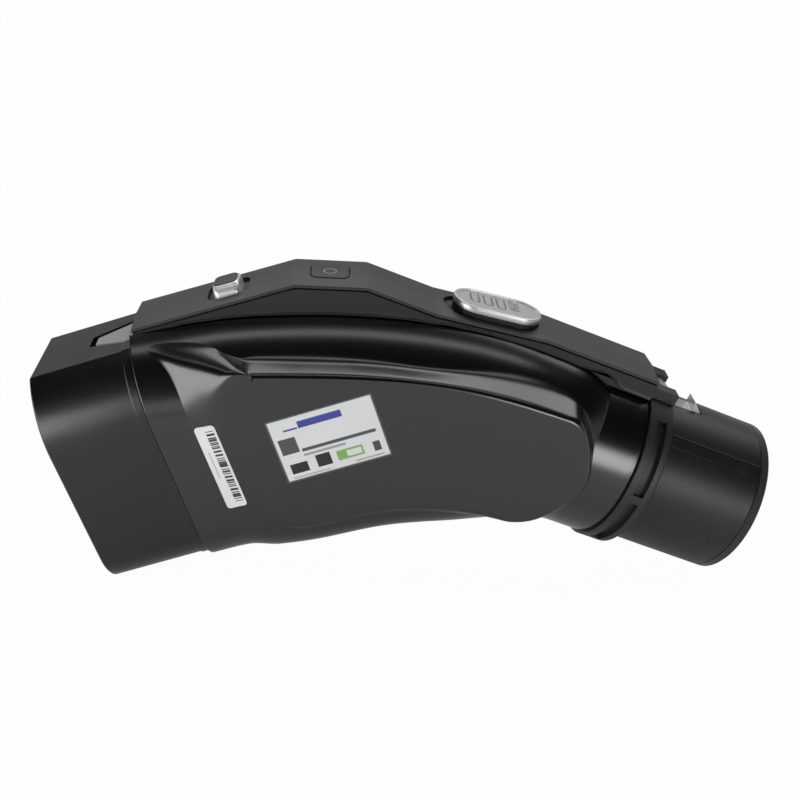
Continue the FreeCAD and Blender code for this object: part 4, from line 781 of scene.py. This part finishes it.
def beside_body(points):
    """The inverse of along_body in the side view: run and rise of points."""
    start = inlet_frame(SEAM_X, 0.0, -AXIS_DROP)
    way = np.array((math.cos(TILT), math.sin(TILT)))
    up = np.array((-way[1], way[0]))
    flat = np.stack((points[..., 0] - start[0], points[..., 2] - start[2]), axis=-1)
    centre = way * LEAD_IN - up * BEND_RADIUS
    out = flat - centre
    angle = math.pi / 2 + TILT - np.arctan2(out[..., 1], out[..., 0])
    turned = np.clip(angle * BEND_RADIUS, 0.0, ARC_LENGTH)
    last_way = np.array((math.cos(TILT), -math.sin(TILT)))
    last_up = np.array((math.sin(TILT), math.cos(TILT)))
    first = flat @ way < LEAD_IN
    last = out @ last_way > 0
    run = np.where(first, flat @ way, np.where(last, LEAD_IN + ARC_LENGTH + out @ last_way, LEAD_IN + turned))
    rise = np.where(first, flat @ up, np.where(last, out @ last_up - BEND_RADIUS,
                                               np.linalg.norm(out, axis=-1) - BEND_RADIUS))
    return run, rise


def base_piece():
    """The block: for each place along the spine a column from the cover's seam down the side to the lip, round it,
    back to the groove and down into the body; the top is one long well for the moving parts."""
    skin = Skin()
    places, downs, _ = chain_rows()
    dense_places, dense_downs = [], []
    for k in range(len(places) - 1):
        count = max(2, int(np.linalg.norm(places[k + 1] - places[k]) / 1.0) + 1)
        share = np.linspace(0.0, 1.0, count)[:-1, None]
        dense_places.append(places[k] * (1 - share) + places[k + 1] * share)
        dense_downs.append(downs[k] * (1 - share) + downs[k + 1] * share)
    places = np.concatenate(dense_places + [places[-1:]])
    downs = np.concatenate(dense_downs + [downs[-1:]])
    top = places + downs * (COVER_DEEP + BASE_GAP)
    run, rise = beside_body(top)
    lip_run, lip_rise = np.array(BASE_LIP).T
    lip = np.interp(run, lip_run, lip_rise)
    columns = [(BASE_GROOVE, rise + 0.3), (BASE_GROOVE, rise - 2.2), (BASE_HALF - 0.45, rise - 2.2),
               (BASE_HALF - 0.3, rise - 0.05), (BASE_HALF - 0.12, rise), (BASE_HALF, rise - 0.15)]
    for share in np.linspace(0.1, 0.85, 5):
        columns.append((BASE_HALF, (rise - 0.35) * (1 - share) + lip * share))
    columns += [(BASE_HALF + 0.06, lip + 0.55), (BASE_HALF + 0.3, lip + 0.12), (BASE_HALF + 0.3, lip - 0.15),
                (BASE_HALF + 0.1, lip - 0.3), (BASE_GROOVE, lip - 0.35), (BASE_GROOVE, lip - 7.0)]
    for side in (-1, 1):
        rows = np.stack([along_body(run, side * y + 0 * run, height) for y, height in columns], axis=1)
        skin.grid(rows, flip=side < 0)
    brink = np.stack([along_body(run, side * BASE_GROOVE + 0 * run, rise + 0.3) for side in (-1, 1)], axis=1)
    well = brink + downs[:, None] * BASE_WELL
    skin.grid(well)
    for k, side in enumerate((-1, 1)):
        skin.grid(np.stack((brink[:, k], well[:, k]), axis=1), flip=side > 0)
    for row, outward in ((0, -chain_way[0]), (-1, chain_way[-1])):
        section = [(y, height[row]) for y, height in columns]
        outline = [along_body(run[row], side * y, height) for side, part in ((-1, section), (1, section[::-1]))
                   for y, height in part]
        skin.flat(np.array(outline), outward)
    skin.made("base_skin", "housing", base_matte, ("spine_base",), crease=24.0)


base_piece()


# Lock knob: a chrome-plated frustum with a dark moulded top, on a stem through the
# cover's slot to the grey lock plate that slides out over the cap's notch. Its chrome is
# only partly metallic: the whitish diffuse share is painted sheen for mirrored light.
def lofted(name, frame_at, rows, body, shader, replaces=()):
    """A closed piece of rounded rectangles at rising heights, whose rows are half length, half width, corner
    radius and height; the first and the last row are filled."""
    skin = Skin()
    rings = [round_box(half_x, half_y, radius, 12) for half_x, half_y, radius, _ in rows]
    points = np.stack([frame_at.at(ring[:, 0], ring[:, 1], row[3]) for ring, row in zip(rings, rows)])
    skin.grid(points, loop=True, flip=True)
    skin.flat(points[-1], frame_at.z)
    skin.flat(points[0], -frame_at.z)
    skin.made(name, body, shader, replaces, crease=30.0)


KNOB_ROWS = (
    (5.4, 7.8, 2.0, -2.6), (5.6, 8.0, 2.1, -2.4), (5.6, 8.0, 2.2, 0.0), (5.58, 7.75, 2.3, 1.3),
    (5.54, 7.2, 2.5, 2.4), (5.46, 6.4, 2.6, 3.15), (5.3, 5.45, 2.6, 3.62), (5.05, 5.1, 2.5, 3.75),
)
KNOB_TOP_ROWS = ((5.05, 5.1, 2.5, 3.6), (5.0, 5.0, 2.45, 3.95), (4.8, 4.8, 2.4, 4.15), (4.5, 4.5, 2.2, 4.2))
# Painted sheen: the knob's material is only partly metallic, with a whitish diffuse share that stands in for the bright
# reflections of real chrome.
chrome = grained("chrome", (0.78, 0.78, 0.79), 0.2, grain=0.004, relief=0.000001, spread=0.03, Metallic=0.4)
knob_dark = grained("knob_dark", (0.03, 0.03, 0.032), 0.45)
grey_plate = grained("grey_plate", (0.32, 0.32, 0.32), 0.5, bevel=0.0003)
lofted("knob_skin", KNOB_AT, KNOB_ROWS, "knob", chrome, ("lock_knob",))
lofted("knob_top_skin", KNOB_AT, KNOB_TOP_ROWS, "knob", knob_dark, ("knob_top",))
shade(grey_plate, "lock_plate")


# Power button: a matte black key flush in the cover, moulded with rounded corners, with
# a pale light ring pressed into its middle.
def ring_piece(name, frame_at, outer, inner, low, high, body, shader, replaces):
    """A flat ring with a slightly rounded top: seven circles, up the outside, over the top and down the inside."""
    angle = np.linspace(0.0, 2 * math.pi, 64, endpoint=False)
    middle = (outer + inner) / 2
    rows = ((outer, low), (outer, high - 0.06), (outer - 0.08, high), (middle, high + 0.03), (inner + 0.08, high),
            (inner, high - 0.06), (inner, low))
    skin = Skin()
    skin.grid(np.stack([frame_at.at(radius * np.cos(angle), radius * np.sin(angle), level) for radius, level in rows]),
              loop=True, flip=True)
    skin.made(name, body, shader, replaces)


BUTTON_ROWS = ((7.7, 6.7, 3.1, -3.0), (7.95, 6.95, 3.25, -2.8), (7.95, 6.95, 3.25, -0.3), (7.8, 6.8, 3.15, -0.04),
               (7.5, 6.5, 3.0, 0.04))
RING_OUTER, RING_INNER, RING_LOW, RING_HIGH = 2.9, 2.35, -0.3, 0.08
button_matte = grained("button_matte", (0.014, 0.014, 0.015), 0.5)
pale_ring = grained("pale_ring", (0.32, 0.33, 0.34), 0.4)
lofted("button_skin", BUTTON_AT, BUTTON_ROWS, "button", button_matte, ("power_button",))
ring_piece("ring_skin", BUTTON_AT, RING_OUTER, RING_INNER, RING_LOW, RING_HIGH, "button", pale_ring,
           ("ring_light",))


# Release slider: an oval key of cast silver metal with a rim round its sunk face, on a
# matte black foot in the base's well; the foot's black is painted shade for the undercut
# below the key. Three raised U shapes and a rough patch are cast into it; the U shapes are
# painted darker all round as painted shade for their relief, and the patch darker in specks.
def field(u, v, left, right, top, bottom, soft=0.1):
    """1 inside a rectangle and 0 outside, with a soft border."""
    return (u.step(left - soft, left + soft) * (1.0 - u.step(right - soft, right + soft))
            * v.step(top - soft, top + soft) * (1.0 - v.step(bottom - soft, bottom + soft)))


SLIDER_ROWS = (
    (19.0, 9.9, 9.85, 1.55), (19.35, 10.25, 10.2, 1.7), (19.4, 10.3, 10.25, 2.4), (19.35, 10.25, 10.2, 4.0),
    (19.2, 10.1, 10.05, 4.3), (18.95, 9.85, 9.8, 4.42), (18.2, 9.1, 9.05, 4.42), (18.0, 8.9, 8.85, 4.34),
    (17.9, 8.8, 8.75, 4.0),
)
SLIDER_BASE = ((18.7, 9.6, 9.55, -2.4), (18.9, 9.8, 9.75, -2.2), (18.9, 9.8, 9.75, 1.6))
MARKS, MARK_RADIUS, MARK_TOP = ((-10.0, -1.4), (-4.2, -1.8), (1.5, -2.2)), 1.75, 5.8
CAST_GREY, MARK_GREY = (0.5, 0.5, 0.5), (0.14, 0.14, 0.14)
silver = Shader("cast_silver", CAST_GREY, 0.38, Metallic=1.0)
silver.clouds(0.38, 0.06)
along, _, across = in_frame(silver, SLIDER_AT.origin, SLIDER_AT.x)
marks = None
for centre, low in MARKS:
    x = abs(along - centre)
    y = (across - low).least(0.0)
    line = abs((x * x + y * y) ** 0.5 - MARK_RADIUS)
    mark = (1.0 - line.step(0.2, 0.42)) * (1.0 - across.step(MARK_TOP, MARK_TOP + 0.4))
    marks = mark if marks is None else marks.most(mark)
rough_patch = field(along, across, 5.0, 9.4, -3.6, 6.2, 0.3) * silver.noise(0.0011, 0.0).step(0.5, 0.6)
cast = silver.noise(0.0006, 3.0) * 0.12
silver.bump((marks * 0.8).most(rough_patch * 0.8) + cast, 0.0005)
# Painted shade: the U marks are painted darker all round, standing in for the shade along their raised edges; the rough
# patch is painted darker in specks.
silver.set("Base Color", silver.mix((rough_patch * 0.8).most(marks) * 0.8, CAST_GREY, MARK_GREY))
lofted("slider_skin", SLIDER_AT, SLIDER_ROWS, "slider", silver, ("release_slider",))
# Painted shade: a matte black foot under the key, whose black stands in for the shade in the undercut below it.
lofted("slider_foot_painted_shade", SLIDER_AT, SLIDER_BASE, "slider", base_matte)

# Labels: two thin white printed films stuck on the near side, one flat on the pillow's
# face and one bent over its left flank. They carry only plain blocks, bars and stripes.
# Each is left, right, low and high in the inlet's frame.
RATING_BOX = (90.0, 135.2, -68.6, -38.5)
SERIAL_BOX = (61.6, 70.4, -73.3, -33.0)
LABEL_WAY = inlet_frame(1.0, 0.0, 0.0) - INLET_AT
LABEL_PROUD, LABEL_TUCK = 0.14, 0.3
PAPER_WHITE = (0.84, 0.85, 0.86)


def flank_depth(run, rise):
    """How far the near skin stands out on the pillow's left flank, a touch above its hollow and its rim: tube up to
    the foot line, a straight flank up to the rim, both averaged over a short and a long reach."""
    rim_run, rim_rise, foot_run, foot_rise, _ = ring_spline(PILLOW, 640).T
    left = (rim_run < 31.0) & (rim_rise < 31.0) & (rim_rise > -31.0)
    order = np.argsort(rim_rise[left])
    rim_at = np.interp(rise, rim_rise[left][order], rim_run[left][order])
    order = np.argsort(foot_rise[left])
    foot_at = np.interp(rise, foot_rise[left][order], foot_run[left][order])
    foot_y = tube_width(foot_at, rise)

    def folded(place):
        share = np.clip((place - foot_at) / (rim_at - foot_at), 0.0, 1.0)
        return np.where(place < foot_at, tube_width(place, rise), foot_y + (FACE_Y - foot_y) * share)

    def softened(reach):
        return np.mean([folded(run + shift) for shift in np.linspace(-reach, reach, 21)], axis=0)

    return np.maximum(softened(5.0), softened(1.5))


def label_sheet(name, box, radius, depth_of, shader, replaces):
    """A sheet of even rows whose ends are drawn in to round the corners, with its edge turned down to the skin."""
    left, right, low, high = box
    half_x, half_z = (right - left) / 2, (high - low) / 2
    v = half_z * np.sin(np.linspace(-math.pi / 2, math.pi / 2, 61))
    short = np.clip(radius - (half_z - np.abs(v)), 0.0, radius)
    half = half_x - radius + np.sqrt(radius ** 2 - short ** 2)
    x = (left + right) / 2 + half[:, None] * np.linspace(-1.0, 1.0, 25)
    z = (low + high) / 2 + v[:, None] + 0 * x
    run, rise = beside_body(inlet_frame(x, 0.0, z))
    depth = depth_of(run, rise)
    top = along_body(run, -depth - LABEL_PROUD, rise)
    under = along_body(run, -depth + LABEL_TUCK, rise)
    skin = Skin()
    skin.grid(top, flip=True)
    skin.grid(np.stack([np.concatenate((sheet[0, :-1], sheet[:-1, -1], sheet[-1, :0:-1], sheet[:0:-1, 0]))
                        for sheet in (top, under)]), loop=True)
    skin.made(name, "housing", shader, replaces, crease=40.0)


label_white = grained("label_white", (0.82, 0.83, 0.84), 0.35)
u, height, _ = in_frame(label_white, inlet_frame(RATING_BOX[0], 0.0, RATING_BOX[3]), LABEL_WAY)
v = 0.0 - height
wide, tall = RATING_BOX[1] - RATING_BOX[0], RATING_BOX[3] - RATING_BOX[2]
paint = label_white.mix(1.0 - field(u, v, 0.75, wide - 0.75, 0.75, tall - 0.75), PAPER_WHITE, (0.1, 0.1, 0.105))
for box, tone in (
    ((12.5, 31.0, 3.3, 6.5), (0.06, 0.07, 0.36)), ((6.0, 12.0, 5.7, 6.5), (0.06, 0.07, 0.36)),
    ((2.3, 9.6, 9.6, 17.0), (0.09, 0.09, 0.1)), ((10.6, 42.0, 15.9, 17.4), (0.09, 0.09, 0.1)),
    ((10.6, 28.4, 18.5, 19.6), (0.4, 0.4, 0.42)), ((3.4, 10.8, 21.9, 26.6), (0.02, 0.02, 0.02)),
    ((14.6, 20.8, 20.6, 26.4), (0.02, 0.02, 0.02)), ((23.4, 34.6, 21.4, 26.0), (0.25, 0.5, 0.14)),
    ((27.6, 33.8, 22.3, 25.1), (0.8, 0.84, 0.78)), ((38.9, 41.9, 21.7, 26.2), (0.08, 0.08, 0.08)),
    ((3.2, 19.0, 28.1, 28.7), (0.5, 0.5, 0.5)), ((30.0, 42.3, 27.8, 28.6), (0.5, 0.5, 0.5)),
):
    paint = label_white.mix(field(u, v, *box), paint, tone)
label_white.set("Base Color", paint)

label_striped = grained("label_striped", (0.82, 0.83, 0.84), 0.35)
u, height, _ = in_frame(label_striped, inlet_frame(SERIAL_BOX[0], 0.0, SERIAL_BOX[3]), LABEL_WAY)
v = 0.0 - height
bars = label_striped.node("ShaderNodeTexNoise", {"noise_dimensions": "1D"}, W=v, Scale=1.1, Detail=0.0,
                          output="Fac").step(0.46, 0.49)
paint = label_striped.mix(field(u, v, 4.3, 7.8, 2.4, 37.6) * bars, PAPER_WHITE, (0.04, 0.04, 0.04))
paint = label_striped.mix(field(u, v, 1.9, 2.5, 12.0, 25.0), paint, (0.55, 0.55, 0.55))
label_striped.set("Base Color", paint)
label_sheet("rating_sheet", RATING_BOX, 0.3, lambda run, rise: FACE_Y + 0 * run, label_white,
            ("rating_label",))
label_sheet("serial_sheet", SERIAL_BOX, 1.6, flank_depth, label_striped, ("serial_label",))
